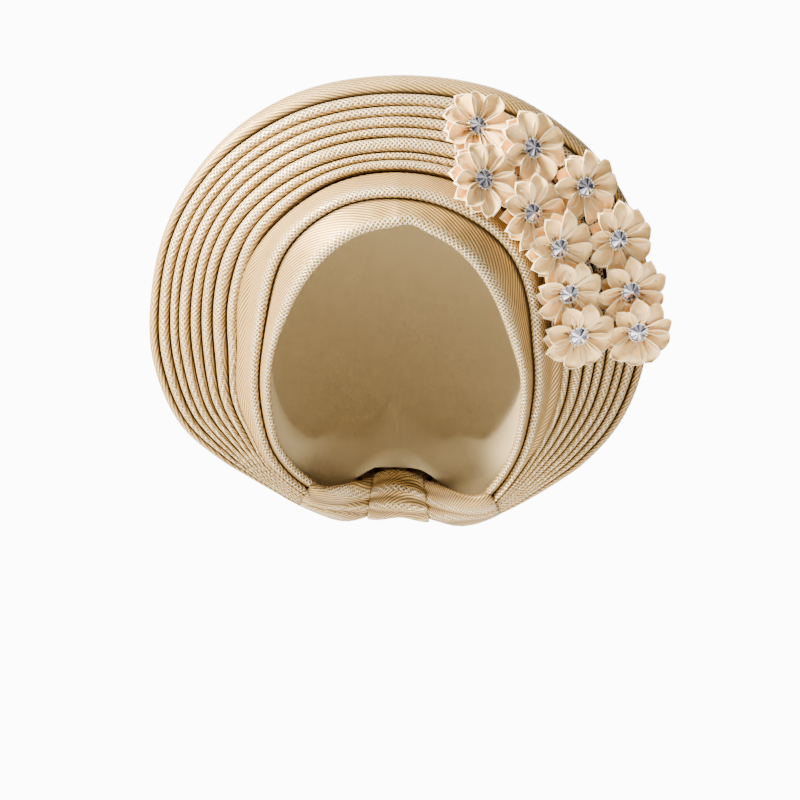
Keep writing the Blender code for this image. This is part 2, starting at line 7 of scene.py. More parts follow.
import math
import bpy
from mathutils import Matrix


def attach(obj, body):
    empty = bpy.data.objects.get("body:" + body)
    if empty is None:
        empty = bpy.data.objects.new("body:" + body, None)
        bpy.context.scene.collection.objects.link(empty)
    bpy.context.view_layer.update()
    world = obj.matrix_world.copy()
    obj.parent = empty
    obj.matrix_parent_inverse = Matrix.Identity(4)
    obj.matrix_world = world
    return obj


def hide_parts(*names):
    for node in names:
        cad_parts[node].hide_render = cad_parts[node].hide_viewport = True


bl_info = {
    "name": "Gele head tie",
    "version": (1, 0, 0),
    "blender": (4, 5, 0),
    "location": "View3D > Sidebar > Head tie",
    "description": "Builds the cloth, flowers, stones and studio of a tied gele head tie",
    "category": "Object",
}

import bmesh
import bpy
from bpy.props import FloatProperty, IntProperty, PointerProperty, StringProperty
from mathutils import Matrix, Vector, noise

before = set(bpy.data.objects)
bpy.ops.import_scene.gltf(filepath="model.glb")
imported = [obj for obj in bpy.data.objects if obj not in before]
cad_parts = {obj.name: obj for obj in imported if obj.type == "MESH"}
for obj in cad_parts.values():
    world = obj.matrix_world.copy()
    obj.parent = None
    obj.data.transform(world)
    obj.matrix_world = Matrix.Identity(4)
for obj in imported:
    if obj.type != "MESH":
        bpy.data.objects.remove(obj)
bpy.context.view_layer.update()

# Shares of the head's own radius, and of the named widths, at each angle of the sections
RADIAL_SECTIONS = (
    # angle, brow, lower band, upper band, fan
    (-153, 1.125, 0.12, 0.21, 0.13),
    (-144, 1.150, 0.16, 0.23, 0.18),
    (-136, 1.148, 0.19, 0.34, 0.27),
    (-128, 1.105, 0.24, 0.44, 0.45),
    (-115, 1.030, 0.28, 0.73, 0.70),
    (-100, 0.920, 0.39, 0.78, 0.90),
    (-85, 0.815, 0.61, 0.95, 0.92),
    (-60, 0.690, 1.00, 0.93, 0.95),
    (-30, 0.612, 0.98, 0.93, 1.00),
    (0, 0.581, 0.85, 1.00, 0.985),
    (30, 0.599, 0.90, 1.04, 1.04),
    (60, 0.660, 1.08, 0.98, 1.03),
    (85, 0.764, 0.85, 0.99, 0.95),
    (100, 0.857, 0.61, 0.98, 0.88),
    (115, 0.985, 0.38, 0.86, 0.72),
    (128, 1.078, 0.25, 0.57, 0.54),
    (136, 1.132, 0.19, 0.34, 0.40),
    (144, 1.165, 0.16, 0.23, 0.26),
    (153, 1.185, 0.12, 0.21, 0.12),
)

# Shares of half the head's length, and of the named setbacks, alike on both sides
DEPTH_SECTIONS = (
    # angle, brow, lower band, upper band, fan
    (0, -0.887, 0.50, 1.00, 1.00),
    (30, -0.856, 0.56, 0.94, 1.00),
    (60, -0.763, 0.75, 1.00, 0.90),
    (85, -0.608, 0.94, 1.00, 0.74),
    (100, -0.485, 0.81, 1.00, 0.64),
    (115, -0.340, 0.69, 1.06, 0.52),
    (128, -0.175, 0.56, 0.88, 0.45),
    (136, -0.040, 0.42, 0.66, 0.48),
    (144, 0.110, 0.36, 0.46, 0.52),
    (153, 0.260, 0.32, 0.36, 0.56),
)

# Where each fold's edge lies, as a share of the way from the rim to the bands
PLEATS = (
    # over the brow, at the sides, at the gathers
    (0.265, 0.125, 0.150),
    (0.405, 0.265, 0.260),
    (0.510, 0.370, 0.370),
    (0.625, 0.500, 0.480),
    (0.715, 0.610, 0.590),
    (0.850, 0.730, 0.700),
    (0.915, 0.870, 0.800),
    (0.990, 0.985, 0.900),
)

# One fold's line, from the crease it starts in to the turn under its edge
PLEAT_SHAPE = (
    # share of the pitch, share of the rise, how much of a crest it is (low values get painted shade, high
    # ones painted highlights)
    (0.00, -0.20, 0.00),
    (0.06, 0.12, 0.00),
    (0.14, 0.46, 0.32),
    (0.32, 0.84, 0.80),
    (0.56, 1.00, 1.00),
    (0.78, 0.93, 1.00),
    (0.93, 0.66, 0.60),
    (1.00, 0.28, 0.12),
    (0.985, -0.12, 0.00),
)

# Shares of the drape's run and bulge, and the angle at which it reaches the nape
DRAPE_SECTIONS = (
    # angle, run, bulge, nape angle
    (0, 1.00, 1.00, 180.0),
    (45, 0.85, 0.85, 172.0),
    (90, 0.50, 0.48, 164.0),
    (125, 0.25, 0.22, 158.0),
    (135, 0.18, 0.15, 157.0),
    (144, 0.08, 0.04, 155.0),
    (152, 0.03, 0.01, 153.5),
)

# Each flower's place on the fan, from the rim, with its rise over the pleats and its turn
FLOWERS = (
    # angle, share of the way in from the rim, lift, turn in degrees
    (22.2, 0.60, 2.5, 0),
    (38.0, 0.58, 6.0, 14),
    (31.4, 1.03, 6.5, 30),
    (54.5, 0.49, 6.0, 8),
    (51.4, 0.98, 4.5, 21),
    (65.9, 0.96, 5.5, 4),
    (69.7, 0.44, 7.0, 17),
    (81.0, 0.99, 5.5, 11),
    (82.7, 0.41, 7.0, 33),
    (94.7, 0.92, 4.5, 26),
    (92.6, 0.34, 8.0, 2),
)

# A ribbon petal's half width along its length
PETAL_WIDTHS = (
    # share of the length, share of the half width
    (0.00, 0.20),
    (0.12, 0.38),
    (0.30, 0.72),
    (0.50, 0.97),
    (0.68, 1.00),
    (0.84, 0.80),
    (0.95, 0.42),
    (1.00, 0.06),
)

# The rim's turn to the back, as shares of its roll, from the hem to the front
RIM_TURN = (
    # radius, depth, how much of a crest it is (low values get painted shade, high ones painted highlights)
    (-0.50, 2.00, 0.30),
    (-0.28, 1.40, 0.35),
    (-0.08, 0.85, 0.35),
    (0.00, 0.00, 0.35),
)
# In from the rim along the fan, and forward
RIM_FRONT = (0.61, 0.32)
# Radius and depth of the drape's hem under the rim
RIM_UNDERSIDE = (-0.16, 0.95)

# The middle of the nape roll, as shares of the nape's drop and of the head's length
NAPE_CENTRE = (0.97, 0.38)

# The sewn base behind a flower's hub, down to where its stalk begins
STALK_RINGS = (
    # radius, height
    (0.0004, 0.0),
    (0.0060, -0.0002),
    (0.0052, -0.0018),
    (0.0028, -0.0026),
)

# A flower's two layers of petals
PETAL_LAYERS = (
    # share of the full reach, rise in metres, turn as a share of a petal
    (0.94, 0.0022, 0.5),
    (1.00, 0.0048, 0.0),
)

# How the nape roll and its knot are wound: folds, depth of a groove in metres, twist
ROLL_WINDING = (5, 0.0012, 5.0)
KNOT_WINDING = (7, 0.0011, 1.2)

# Small lengths of the cloth, in metres. The fan's foot and the cap lie BEHIND_BAND, and a band
# narrower than BAND_FULL_WIDTH has smaller turns.
BEHIND_BAND = 0.00155
BAND_FULL_WIDTH = 0.008
BAND_CROWN = 0.0010
BAND_HEM = 0.005
BAND_TUCK = 0.0030
BAND_OVERLAP = 0.0020
EDGE_TURN = 0.0012
EDGE_TUCK = 0.0008
HEM_TURN = 0.0010
SEAM_GAP = 0.0004
OVERHANG_REACH = 0.0030
OVERHANG_RISE = 0.0022
ROLL_MARGIN = 0.0025
ROLL_HALF_HEIGHT = 0.0095
ROLL_HALF_DEPTH = 0.0072
ROLL_END_HALF = 0.0055
ROLL_INSET = 0.0003
KNOT_GAP = 0.0004
KNOT_FULLNESS = 0.0008
KNOT_CLEARANCE = 0.0012
CAP_CLEARANCE = 0.0007
CAP_STANDOFF = 0.0012
CAP_OVERLAP = 0.0018
DRAPE_INSET = 0.0015
DRAPE_CLEARANCE = 0.0017
MERGE_DISTANCE = 0.000001

# Small lengths of the flowers and their settings, in metres
PETAL_START = 0.0022
PETAL_PINCH = 0.0022
PETAL_DROOP = 0.0016
STALK_RADIUS = 0.0026
STALK_START = 0.0036
LAYER_DROP = 0.0014
LAYER_STEP = 0.0012
NEIGHBOUR_STEP = 0.0004
SETTING_LIFT = 0.00035
SETTING_LIP = 0.0005
SETTING_RIM = 0.0006
SETTING_SINK = 0.0009
SETTING_BEVEL = 0.00015
BEAD_RADIUS = 0.00088
BEAD_CIRCLE = 0.00515
STONE_PLAY = 0.0002
STONE_LIFT = 0.0003

# How finely the cloth is drawn, and how often it folds
SECTION_STEP = 1.5
CAP_SECTIONS = 120
CAP_RINGS = 14
DRAPE_ROWS = 32
DRAPE_FOLDS = 12.0
DRAPE_FINE_FOLDS = 29.0
ROLL_SIDES = 48
ROLL_STEPS = 60
KNOT_STEPS = 30
PETAL_ROWS = 14
PETAL_COLUMNS = 10
STALK_SIDES = 16
SETTING_SIDES = 36
STONE_FACETS = 16

# The wave texture's own period at a scale of 1, and the drawn threads in metres
WAVE_PERIOD = 0.314
LINING_THREAD = 0.0008
SATIN_RIB = 0.0006


def length_prop(name, description, default):
    """A size in metres."""
    return FloatProperty(
        name=name, description=description, default=default, unit="LENGTH", precision=4
    )


def number_prop(name, description, default, **options):
    """A number that isn't a length, with its unit or subtype where Blender has one."""
    return FloatProperty(name=name, description=description, default=default, **options)


def count_prop(name, description, default):
    """A whole number of like pieces, at least three."""
    return IntProperty(name=name, description=description, default=default, min=3)


def colour_prop(name, description, default):
    """An sRGB hex colour."""
    return StringProperty(name=name, description=description, default=default)


class HeadTieCloth(bpy.types.PropertyGroup):
    """Sizes and colours of the cloth."""

    head_width: length_prop("Head width", "Width of the head that the cap fits", 0.144)
    head_length: length_prop("Head length", "That head from front to back", 0.194)
    crown_height: length_prop("Crown height", "From the sections' axis up to the cap", 0.080)
    nape_drop: length_prop("Nape drop", "From the sections' axis down to the nape", 0.100)
    lower_band: length_prop("Lower band", "Seen width of the inner brow band", 0.0165)
    upper_band: length_prop("Upper band", "Seen width of the outer brow band", 0.0158)
    band_setback: length_prop("Band setback", "How far each band leans back", 0.016)
    band_fold: length_prop("Band fold", "Thickness of a band at its folded edge", 0.0038)
    brow_notch: length_prop("Brow notch", "Rise of the point over the brow", 0.0025)
    fan_width: length_prop("Fan width", "From the bands to the rim over the brow", 0.056)
    fan_setback: length_prop("Fan setback", "How far the fan leans back", 0.042)
    fan_bulge: length_prop("Fan bulge", "How far the fan swells forward", 0.0035)
    fan_end: number_prop("Fan end", "Degrees from the top to each gather", 153.0)
    pleat_rise: length_prop("Pleat rise", "Height of a full fold over the next", 0.0064)
    full_pitch: length_prop("Full pitch", "Fold width at half its full height", 0.0050)
    rim_roll: length_prop("Rim roll", "How far the rim rolls to the back", 0.0060)
    drape_end: number_prop("Drape end", "Degrees from the top to the drape's ends", 152.0)
    drape_run: length_prop("Drape run", "How far the drape runs straight behind the rim", 0.090)
    drape_bulge: length_prop("Drape bulge", "How full the drape is over the nape", 0.100)
    drape_gather: length_prop("Drape gather", "Depth of the drape's gathers", 0.0058)
    knot_half: number_prop("Knot half angle", "Degrees from the knot's middle to its side", 9.0)
    knot_wall: length_prop("Knot wall", "Thickness of the cloth wound as the knot", 0.0035)
    wall: length_prop("Cloth wall", "Thickness of the bands' and the fan's cloth", 0.0008)
    cap_wall: length_prop("Cap wall", "Thickness of the cap's cloth", 0.0009)
    drape_wall: length_prop("Drape wall", "Thickness of the drape's cloth", 0.0010)
    weave: length_prop("Silver weave", "Period of the silvery threads on the folds", 0.0020)
    twill: length_prop("Twill ribs", "Period of the ribs on flat cloth", 0.0017)
    colour: colour_prop("Cloth", "Middle tone of the cloth", "#C8A96A")
    light: colour_prop("Light cloth", "Paler clouds in the cloth", "#DCC190")
    flat: colour_prop("Flat cloth", "Tone of the ribs on flat cloth", "#BD9350")
    shade: colour_prop("Gaps", "Tone between ribs and threads", "#5C4A22")
    # Painted highlight: the thread tone shows only on crests and folded edges
    thread: colour_prop("Thread", "The silvery threads", "#F2E9D8")
    # Painted shade: the crease tone darkens creases, tucks and grooves
    crease: colour_prop("Crease", "Tone deep in the folds", "#33240A")
    lining: colour_prop("Lining", "Tone of the cap's cloth", "#A39067")


class HeadTieFlowers(bpy.types.PropertyGroup):
    """Sizes and colours of the flowers and stones."""

    radius: length_prop("Flower radius", "From the hub's middle to a petal's tip", 0.0205)
    cup: length_prop("Petal cup", "How deep a petal is cupped", 0.0046)
    lift: length_prop("Lift step", "Height that one step of lift gives", 0.0010)
    seat: length_prop("Seat", "Height of an unlifted hub over the fan's line", 0.0061)
    tilt: number_prop("Tilt", "Degrees that a flower leans along the fan", 22.0)
    forward: number_prop("Forward", "Share by which a flower turns to the front", 0.35, subtype="FACTOR")
    petals: count_prop("Petals", "Petals in one layer, with one more on every other flower", 8)
    ribbon: length_prop("Ribbon", "Thickness of the satin ribbon", 0.00035)
    setting_radius: length_prop("Setting radius", "Outer radius of a setting", 0.0058)
    setting_height: length_prop("Setting height", "Height of a setting", 0.0030)
    stone_radius: length_prop("Stone radius", "Radius of a stone at its girdle", 0.0047)
    stone_height: length_prop("Stone height", "Height of a stone", 0.0032)
    beads: count_prop("Beads", "Small beads round a setting", 18)
    colour: colour_prop("Satin", "Tone of the ribbon", "#FFD488")
    # Painted shade: the fold tone darkens the pinched folds near the hub
    fold: colour_prop("Folds", "Tone deep in the pinched folds", "#8F5A1C")
    # Painted highlight: the edge tone lightens the petal edges and tips
    edge: colour_prop("Edges", "Tone of the painted-highlight edges", "#FFF1C8")


class HeadTieStudio(bpy.types.PropertyGroup):
    """Camera, lights and floor."""

    distance: length_prop("Distance", "From the camera to the head tie's middle", 1.545)
    eye_height: length_prop("Eye height", "Height of the camera", -0.1236)
    side: length_prop("Side", "How far right the camera stands", 0.0011)
    lens: number_prop("Lens", "Focal length in millimetres", 127.35, unit="CAMERA")
    floor_drop: length_prop("Floor drop", "How far the floor lies below the cap", 1.0)
    floor_size: length_prop("Floor size", "Side of the square floor", 6.0)
    key: number_prop("Key", "Watts of the main light, on the left", 320.0, unit="POWER")
    fill: number_prop("Fill", "Watts of the light on the right", 0.5, unit="POWER")
    top: number_prop("Top", "Watts of the light above", 8.0, unit="POWER")
    sky: number_prop("Sky", "Strength of the light all round", 0.28)
    backdrop_glow: number_prop("Backdrop glow", "Strength of the white wall behind", 12.0)
    backdrop: colour_prop("Backdrop", "Tone of the paper floor", "#F4F3F1")


def linear(code):
    """An sRGB hex colour as linear red, green, blue and alpha."""
    parts = [int(code[i:i + 2], 16) / 255.0 for i in (1, 3, 5)]
    bent = [c / 12.92 if c <= 0.04045 else ((c + 0.055) / 1.055) ** 2.4 for c in parts]
    return (*bent, 1.0)


def smooth_step(low, high, value):
    """Turns from 0 at low to 1 at high with a soft start and end."""
    share = min(max((value - low) / (high - low), 0.0), 1.0)
    return share * share * (3.0 - 2.0 * share)


def table_value(table, column, angle):
    """Reads one column of a table on a smooth curve through its rows."""
    angles = [row[0] for row in table]
    values = [row[column] for row in table]
    last = len(table) - 1
    index = max(i for i in range(last) if i == 0 or angles[i] <= angle)

    def slope(i):
        low, high = max(i - 1, 0), min(i + 1, last)
        return (values[high] - values[low]) / (angles[high] - angles[low])

    span = angles[index + 1] - angles[index]
    share = min(max((angle - angles[index]) / span, 0.0), 1.0)
    square, cube = share ** 2, share ** 3
    return (
        (2 * cube - 3 * square + 1) * values[index]
        + (cube - 2 * square + share) * span * slope(index)
        + (3 * square - 2 * cube) * values[index + 1]
        + (cube - square) * span * slope(index + 1)
    )


def smooth_line(points, steps):
    """More points on a smooth curve through these, in any number of dimensions."""
    line = []
    last = len(points) - 1
    for i in range(last):
        before, here = points[max(i - 1, 0)], points[i]
        there, after = points[i + 1], points[min(i + 2, last)]
        for step in range(steps):
            t = step / steps
            line.append(
                (here * 2.0 + (there - before) * t
                 + (before * 2.0 - here * 5.0 + there * 4.0 - after) * t ** 2
                 + (here * 3.0 - before - there * 3.0 + after) * t ** 3) * 0.5
            )
    return line + [points[last]]


def stations(low, high, steps):
    """Evenly spaced values from low to high, both ends included."""
    return [low + (high - low) * i / steps for i in range(steps + 1)]


def place(cloth, angle, point):
    """Turns a section's point, radius and depth, into a point of the model."""
    turn = math.radians(angle)
    radius, depth = point[0], point[1]
    return Vector((radius * math.sin(turn), depth, radius * math.cos(turn) - cloth.crown_height))


def head_radius(cloth, angle):
    """The head's radius at its widest depth, in the section at this angle."""
    turn = math.radians(angle)
    height = cloth.crown_height if math.cos(turn) > 0 else cloth.nape_drop
    return 1.0 / math.hypot(math.sin(turn) * 2.0 / cloth.head_width, math.cos(turn) / height)


def frame_between(start, end):
    """The unit step from start to end and the unit normal that faces out of the cloth."""
    along = (end - start).normalized()
    return along, Vector((along.y, -along.x))


class Section:
    """The lines that all cloth pieces share in the section at one angle."""

    def __init__(self, cloth, angle):
        side = abs(angle)
        notch = math.exp(-(((angle - 8.0) / 9.0) ** 2))
        radius = table_value(RADIAL_SECTIONS, 1, angle) * head_radius(cloth, angle)
        radius += cloth.brow_notch * notch
        depth = table_value(DEPTH_SECTIONS, 1, side) * cloth.head_length / 2.0
        self.angle = angle
        self.lower_width = table_value(RADIAL_SECTIONS, 2, angle) * cloth.lower_band
        self.upper_width = table_value(RADIAL_SECTIONS, 3, angle) * cloth.upper_band
        self.brow = Vector((radius, depth))
        radius += self.lower_width - cloth.brow_notch * notch
        depth += table_value(DEPTH_SECTIONS, 2, side) * cloth.band_setback
        self.seam = Vector((radius, depth))
        radius += self.upper_width
        depth += table_value(DEPTH_SECTIONS, 3, side) * cloth.band_setback
        self.edge = Vector((radius, depth))
        radius += table_value(RADIAL_SECTIONS, 4, angle) * cloth.fan_width
        depth += table_value(DEPTH_SECTIONS, 4, side) * cloth.fan_setback
        self.rim = Vector((radius, depth))
        self.lower_frame = frame_between(self.brow, self.seam)
        self.upper_frame = frame_between(self.seam, self.edge)
        self.fan_frame = frame_between(self.edge, self.rim)
        self.fan_length = (self.rim - self.edge).length
        self.bulge = cloth.fan_bulge * self.fan_length / cloth.fan_width
        self.roll = cloth.rim_roll * max(0.5, min(1.0, self.fan_length / cloth.fan_width))

    def fan_point(self, share, rise=0.0):
        """A point of the fan, by its share of the way from the rim to the bands."""
        along, out = self.fan_frame
        bulge = self.bulge * 4.0 * share * (1.0 - share)
        return self.rim - along * (share * self.fan_length) + out * (bulge + rise)


def pleat_shares(angle, end):
    """Where the folds lie in the section at this angle, with the hand's small changes."""
    top = 1.0 - smooth_step(15.0, 75.0, abs(angle))
    gather = smooth_step(105.0, end, abs(angle))
    side = 1.0 - top - gather
    shares = []
    for number, row in enumerate(PLEATS):
        sway = 0.006 * noise.noise(Vector((angle / 26.0, number * 3.7, 0.5)))
        shares.append(row[0] * top + row[1] * side + row[2] * gather + sway)
    return shares


def fan_line(cloth, section):
    """The fan's front line with a fold value for each point: 1 on a crest, 0 in a crease. That value paints
    highlights on the crests and shade in the creases.
    """
    band_along, band_out = section.upper_frame
    fan_along, fan_out = section.fan_frame
    rim, roll = section.rim, section.roll
    line = [(rim + Vector((radius, depth)) * roll, crest) for radius, depth, crest in RIM_TURN]
    inward, forward = RIM_FRONT
    line.append((rim - fan_along * (inward * roll) + fan_out * (forward * roll), 0.40))
    overhang = 1.0 - smooth_step(35.0, 75.0, abs(section.angle))
    # shine fades the painted highlights on the crests towards the sides; the outermost fold gets a flat 0.55
    shine = 1.0 - 0.30 * smooth_step(40.0, 95.0, abs(section.angle))
    shares = pleat_shares(section.angle, cloth.fan_end)
    before = 0.0
    for number, share in enumerate(shares):
        pitch = share - before
        width = pitch * section.fan_length
        rise = cloth.pleat_rise * width ** 2 / (width ** 2 + cloth.full_pitch ** 2)
        rise *= 1.0 + 0.16 * noise.noise(Vector((section.angle / 17.0, number * 2.3, 4.1)))
        shape = PLEAT_SHAPE if number else PLEAT_SHAPE[3:]
        last = number == len(shares) - 1
        shift = (band_out * OVERHANG_RISE - band_along * OVERHANG_REACH) * (overhang if last else 0.0)
        for across, height, crest in shape:
            part = smooth_step(0.1, 0.5, across)
            point = section.fan_point(before + across * pitch, height * rise) + shift * part
            line.append((point, crest * (shine if number else 0.55)))
        before = share
    # Behind the band the fold value falls to 0: painted shade where the fan tucks under
    line += [
        (section.edge + band_along * EDGE_TURN - band_out * (0.3 * BEHIND_BAND), 0.0),
        (section.edge + band_along * EDGE_TUCK - band_out * BEHIND_BAND, 0.0),
        (section.edge - band_along * (0.45 * section.upper_width) - band_out * BEHIND_BAND, 0.1),
    ]
    return smooth_line([Vector((p.x, p.y, fold)) for p, fold in line], 2)


def lower_band_line(cloth, section):
    """From the tuck under the upper band to the hem turned in at the brow."""
    along, out = section.lower_frame
    small = min(1.0, section.lower_width / BAND_FULL_WIDTH)
    crown = BAND_CROWN * small
    width = (section.seam - section.brow).length
    brow = section.brow
    fold = cloth.band_fold * max(0.8, small)
    wave = 0.5 * crown * noise.noise(Vector((section.angle / 9.0, 2.0, 7.0)))
    line = [
        # The tuck under the upper band gets a low fold value, painted shade; the turned edge at the brow a
        # high one, painted highlight
        (section.seam + section.upper_frame[0] * (0.33 * section.upper_width), 0.1),
        (section.seam, 0.15),
        (brow + along * (0.80 * width) + out * (0.6 * crown), 0.45),
        (brow + along * (0.50 * width) + out * (1.2 * crown + wave), 0.45),
        (brow + along * (0.22 * width) + out * crown, 0.60),
        (brow + along * (EDGE_TURN * small), 0.95),
        (brow - out * (fold / 2.0), 0.80),
        (brow + along * (HEM_TURN * small) - out * fold, 0.3),
        (brow + along * (BAND_HEM * max(0.5, small)) - out * fold, 0.2),
    ]
    return smooth_line([Vector((p.x, p.y, fold)) for p, fold in line], 4)


def upper_band_line(cloth, section):
    """From the outer edge, under the fan, to the hem turned in over the lower band."""
    along, out = section.upper_frame
    small = min(1.0, section.upper_width / BAND_FULL_WIDTH)
    crown = BAND_CROWN * small
    width = (section.edge - section.seam).length
    seam = section.seam + out * SEAM_GAP
    fold = cloth.band_fold
    wave = 0.6 * crown * noise.noise(Vector((section.angle / 8.0, 5.0, 1.0)))
    over = BAND_OVERLAP * smooth_step(45.0, 80.0, abs(section.angle)) * small
    line = [
        (section.edge + along * (1.1 * over) + out * (0.5 * over), 0.10),
        (section.edge + along * over + out * (1.3 * over), 0.25),
        (seam + along * (0.86 * width) + out * (0.15 * fold + 0.4 * crown + 1.2 * over), 0.35),
        (seam + along * (0.66 * width) + out * (0.34 * fold + 0.8 * crown + wave), 0.45),
        (seam + along * (0.40 * width) + out * (0.60 * fold + 1.1 * crown), 0.45),
        (seam + along * (0.18 * width) + out * (0.86 * fold + 0.8 * crown), 0.65),
        # The folded edge's value of 1 paints a highlight there; the tuck at the seam gets 0, painted shade
        (seam + along * (EDGE_TURN * small) + out * fold, 1.0),
        (seam + out * (fold / 2.0), 0.7),
        (seam + along * (SEAM_GAP * small), 0.0),
        (seam + along * (BAND_TUCK * max(0.42, small)), 0.0),
    ]
    return smooth_line([Vector((p.x, p.y, fold)) for p, fold in line], 4)


def roll_section(cloth, angle):
    """Centre, long and short half sizes, and long direction of the nape roll's section."""
    side = math.copysign(1.0, angle)
    away = smooth_step(cloth.fan_end, 180.0, abs(angle))
    end = Section(cloth, side * cloth.fan_end)
    nape = Vector((NAPE_CENTRE[0] * cloth.nape_drop, NAPE_CENTRE[1] * cloth.head_length))
    centre = ((end.rim + end.brow) / 2.0).lerp(nape, away)
    end_half = (end.rim - end.brow).length / 2.0 + ROLL_MARGIN
    long_half = end_half + (ROLL_HALF_HEIGHT - end_half) * away
    short_half = ROLL_END_HALF + (ROLL_HALF_DEPTH - ROLL_END_HALF) * away
    direction = (end.rim - end.brow).normalized().lerp(Vector((1.0, 0.0)), away).normalized()
    return centre, long_half, short_half, direction


def roll_point(cloth, angle, toward, clear=0.0):
    """A point outside the nape roll's section, in the direction given, at a clear distance."""
    centre, long_half, short_half, direction = roll_section(cloth, angle)
    toward = toward.normalized()
    across = Vector((-direction.y, direction.x))
    reach = 1.0 / math.hypot(toward.dot(direction) / long_half, toward.dot(across) / short_half)
    return centre + toward * (reach + clear)


def knot_cover(cloth, angle):
    """How much room the knot takes round the roll at this angle."""
    return 1.0 - smooth_step(cloth.knot_half, 180.0 - cloth.fan_end, 180.0 - abs(angle))


def settings():
    """The cloth, flower and studio settings of the scene."""
    scene = bpy.context.scene
    return scene.head_tie_cloth, scene.head_tie_flowers, scene.head_tie_studio


def fill_inputs(tree, node, inputs):
    """Sets each input of a node to a value, or links a socket into it."""
    for name, value in inputs.items():
        if isinstance(value, bpy.types.NodeSocket):
            tree.links.new(value, node.inputs[name])
        else:
            node.inputs[name].default_value = value


def add_node(tree, kind, inputs=None, output=0, **options):
    """Adds one shader node with its options and inputs, and returns one of its outputs."""
    node = tree.nodes.new(kind)
    for name, value in options.items():
        setattr(node, name, value)
    fill_inputs(tree, node, inputs or {})
    return node.outputs[output]


def new_material(name, colour, roughness, inputs=None):
    """A material with its Principled shader's constants set."""
    material = bpy.data.materials.new(name)
    material.use_nodes = True
    tree = material.node_tree
    shader = tree.nodes["Principled BSDF"]
    fill_inputs(tree, shader, {"Base Color": linear(colour), "Roughness": roughness, **(inputs or {})})
    return material, tree, shader


def stripes(tree, uv, degrees, period):
    """Soft stripes across the cloth, turned by some degrees, with a period in metres."""
    turn = (0.0, 0.0, math.radians(degrees))
    turned = add_node(tree, "ShaderNodeMapping", {"Vector": uv, "Rotation": turn})
    inputs = {"Vector": turned, "Scale": WAVE_PERIOD / period, "Distortion": 0.4, "Detail Scale": 0.4}
    return add_node(tree, "ShaderNodeTexWave", inputs, "Fac")


def blended(tree, value, low, high, first, second):
    """Turns from the first colour to the second as a value goes from low to high."""
    share = add_node(
        tree, "ShaderNodeMapRange", {"Value": value, "From Min": low, "From Max": high},
        interpolation_type="SMOOTHSTEP",
    )
    return add_node(tree, "ShaderNodeMix", {0: share, 6: first, 7: second}, 2, data_type="RGBA")


def lame_material(cloth):
    """Champagne lame, a polyester twill woven with flat metallised threads.

    It has a soft sheen and ribs on flat cloth. Its metallised threads are real, but they are painted
    bright only on the crests and folded edges, as broken dashes of painted highlight, and the creases
    are painted dark as shade. The real twill is about 1 mm, too fine to show, so its ribs are drawn at
    1.7 mm and the silvery threads at 2.0 mm. Clouds of about 20 mm and flecks of about 1.4 mm break them up.
    """
    if "champagne lame" in bpy.data.materials:
        return bpy.data.materials["champagne lame"]
    material, tree, shader = new_material("champagne lame", cloth.colour, 0.48, {"Specular IOR Level": 0.3})
    uv = add_node(tree, "ShaderNodeUVMap", uv_map="weave")
    fold = add_node(tree, "ShaderNodeAttribute", output="Fac", attribute_name="fold")
    one, two = (stripes(tree, uv, degrees, cloth.weave) for degrees in (42.0, -42.0))
    crossing = add_node(tree, "ShaderNodeMath", {0: one, 1: two}, operation="MAXIMUM")
    specks = add_node(tree, "ShaderNodeTexNoise", {"Vector": uv, "Scale": 700.0, "Detail": 2.0})
    clouds = add_node(tree, "ShaderNodeTexNoise", {"Vector": uv, "Scale": 45.0, "Detail": 3.0})
    rib, strand, glint, crest = (
        add_node(
            tree, "ShaderNodeMapRange", {"Value": socket, "From Min": low, "From Max": high},
            interpolation_type="SMOOTHSTEP",
        )
        for socket, low, high in (
            (stripes(tree, uv, 62.0, cloth.twill), 0.20, 0.72),
            (crossing, 0.62, 0.98),
            (specks, 0.44, 0.62),
            (fold, 0.45, 0.85),
        )
    )
    # Painted highlight: the silvery threads turn bright only where the fold value marks a crest, broken up by
    # flecks
    raised = add_node(tree, "ShaderNodeMath", {0: strand, 1: crest}, operation="MULTIPLY")
    silver = add_node(tree, "ShaderNodeMath", {0: raised, 1: glint}, operation="MULTIPLY")
    tones = {name: linear(getattr(cloth, name)) for name in ("flat", "shade", "thread")}
    tones["soft"] = blended(tree, clouds, 0.30, 0.75, linear(cloth.colour), linear(cloth.light))
    for name, factor, first, second in (
        ("rib", 0.70, "soft", "flat"),
        ("groove", 0.95, "soft", "shade"),
        ("gap", 0.90, "soft", "shade"),
        ("flat cloth", rib, "groove", "rib"),
        ("folded cloth", strand, "gap", "soft"),
        ("cloth", crest, "flat cloth", "folded cloth"),
        ("woven", silver, "cloth", "thread"),
    ):
        inputs = {0: factor, 6: tones[first], 7: tones[second]}
        tones[name] = add_node(tree, "ShaderNodeMix", inputs, 2, data_type="RGBA")
    height = add_node(tree, "ShaderNodeMath", {0: rib, 1: 0.6, 2: raised}, operation="MULTIPLY_ADD")
    fill_inputs(tree, shader, {
        # Painted shade: the cloth turns to the crease tone where the fold value is low, in creases, tucks and
        # grooves
        "Base Color": blended(tree, fold, 0.42, 0.10, tones["woven"], linear(cloth.crease)),
        "Metallic": add_node(tree, "ShaderNodeMath", {0: silver, 1: 0.40, 2: 0.38}, operation="MULTIPLY_ADD"),
        "Normal": add_node(tree, "ShaderNodeBump", {"Strength": 0.6, "Distance": 0.0003, "Height": height}),
    })
    return material


def lining_material(cloth):
    """Plain woven cotton, washed: matt. Its 0.4 mm threads are too fine, so they are drawn at 0.8 mm."""
    material, tree, shader = new_material("cotton lining", cloth.lining, 0.9)
    uv = add_node(tree, "ShaderNodeUVMap", uv_map="weave")
    inputs = {"Vector": uv, "Scale": 1.0 / LINING_THREAD, "Randomness": 0.4}
    weave = add_node(tree, "ShaderNodeTexVoronoi", inputs, "Distance")
    bump = add_node(tree, "ShaderNodeBump", {"Strength": 0.4, "Distance": 0.0002, "Height": weave})
    fill_inputs(tree, shader, {"Normal": bump})
    return material


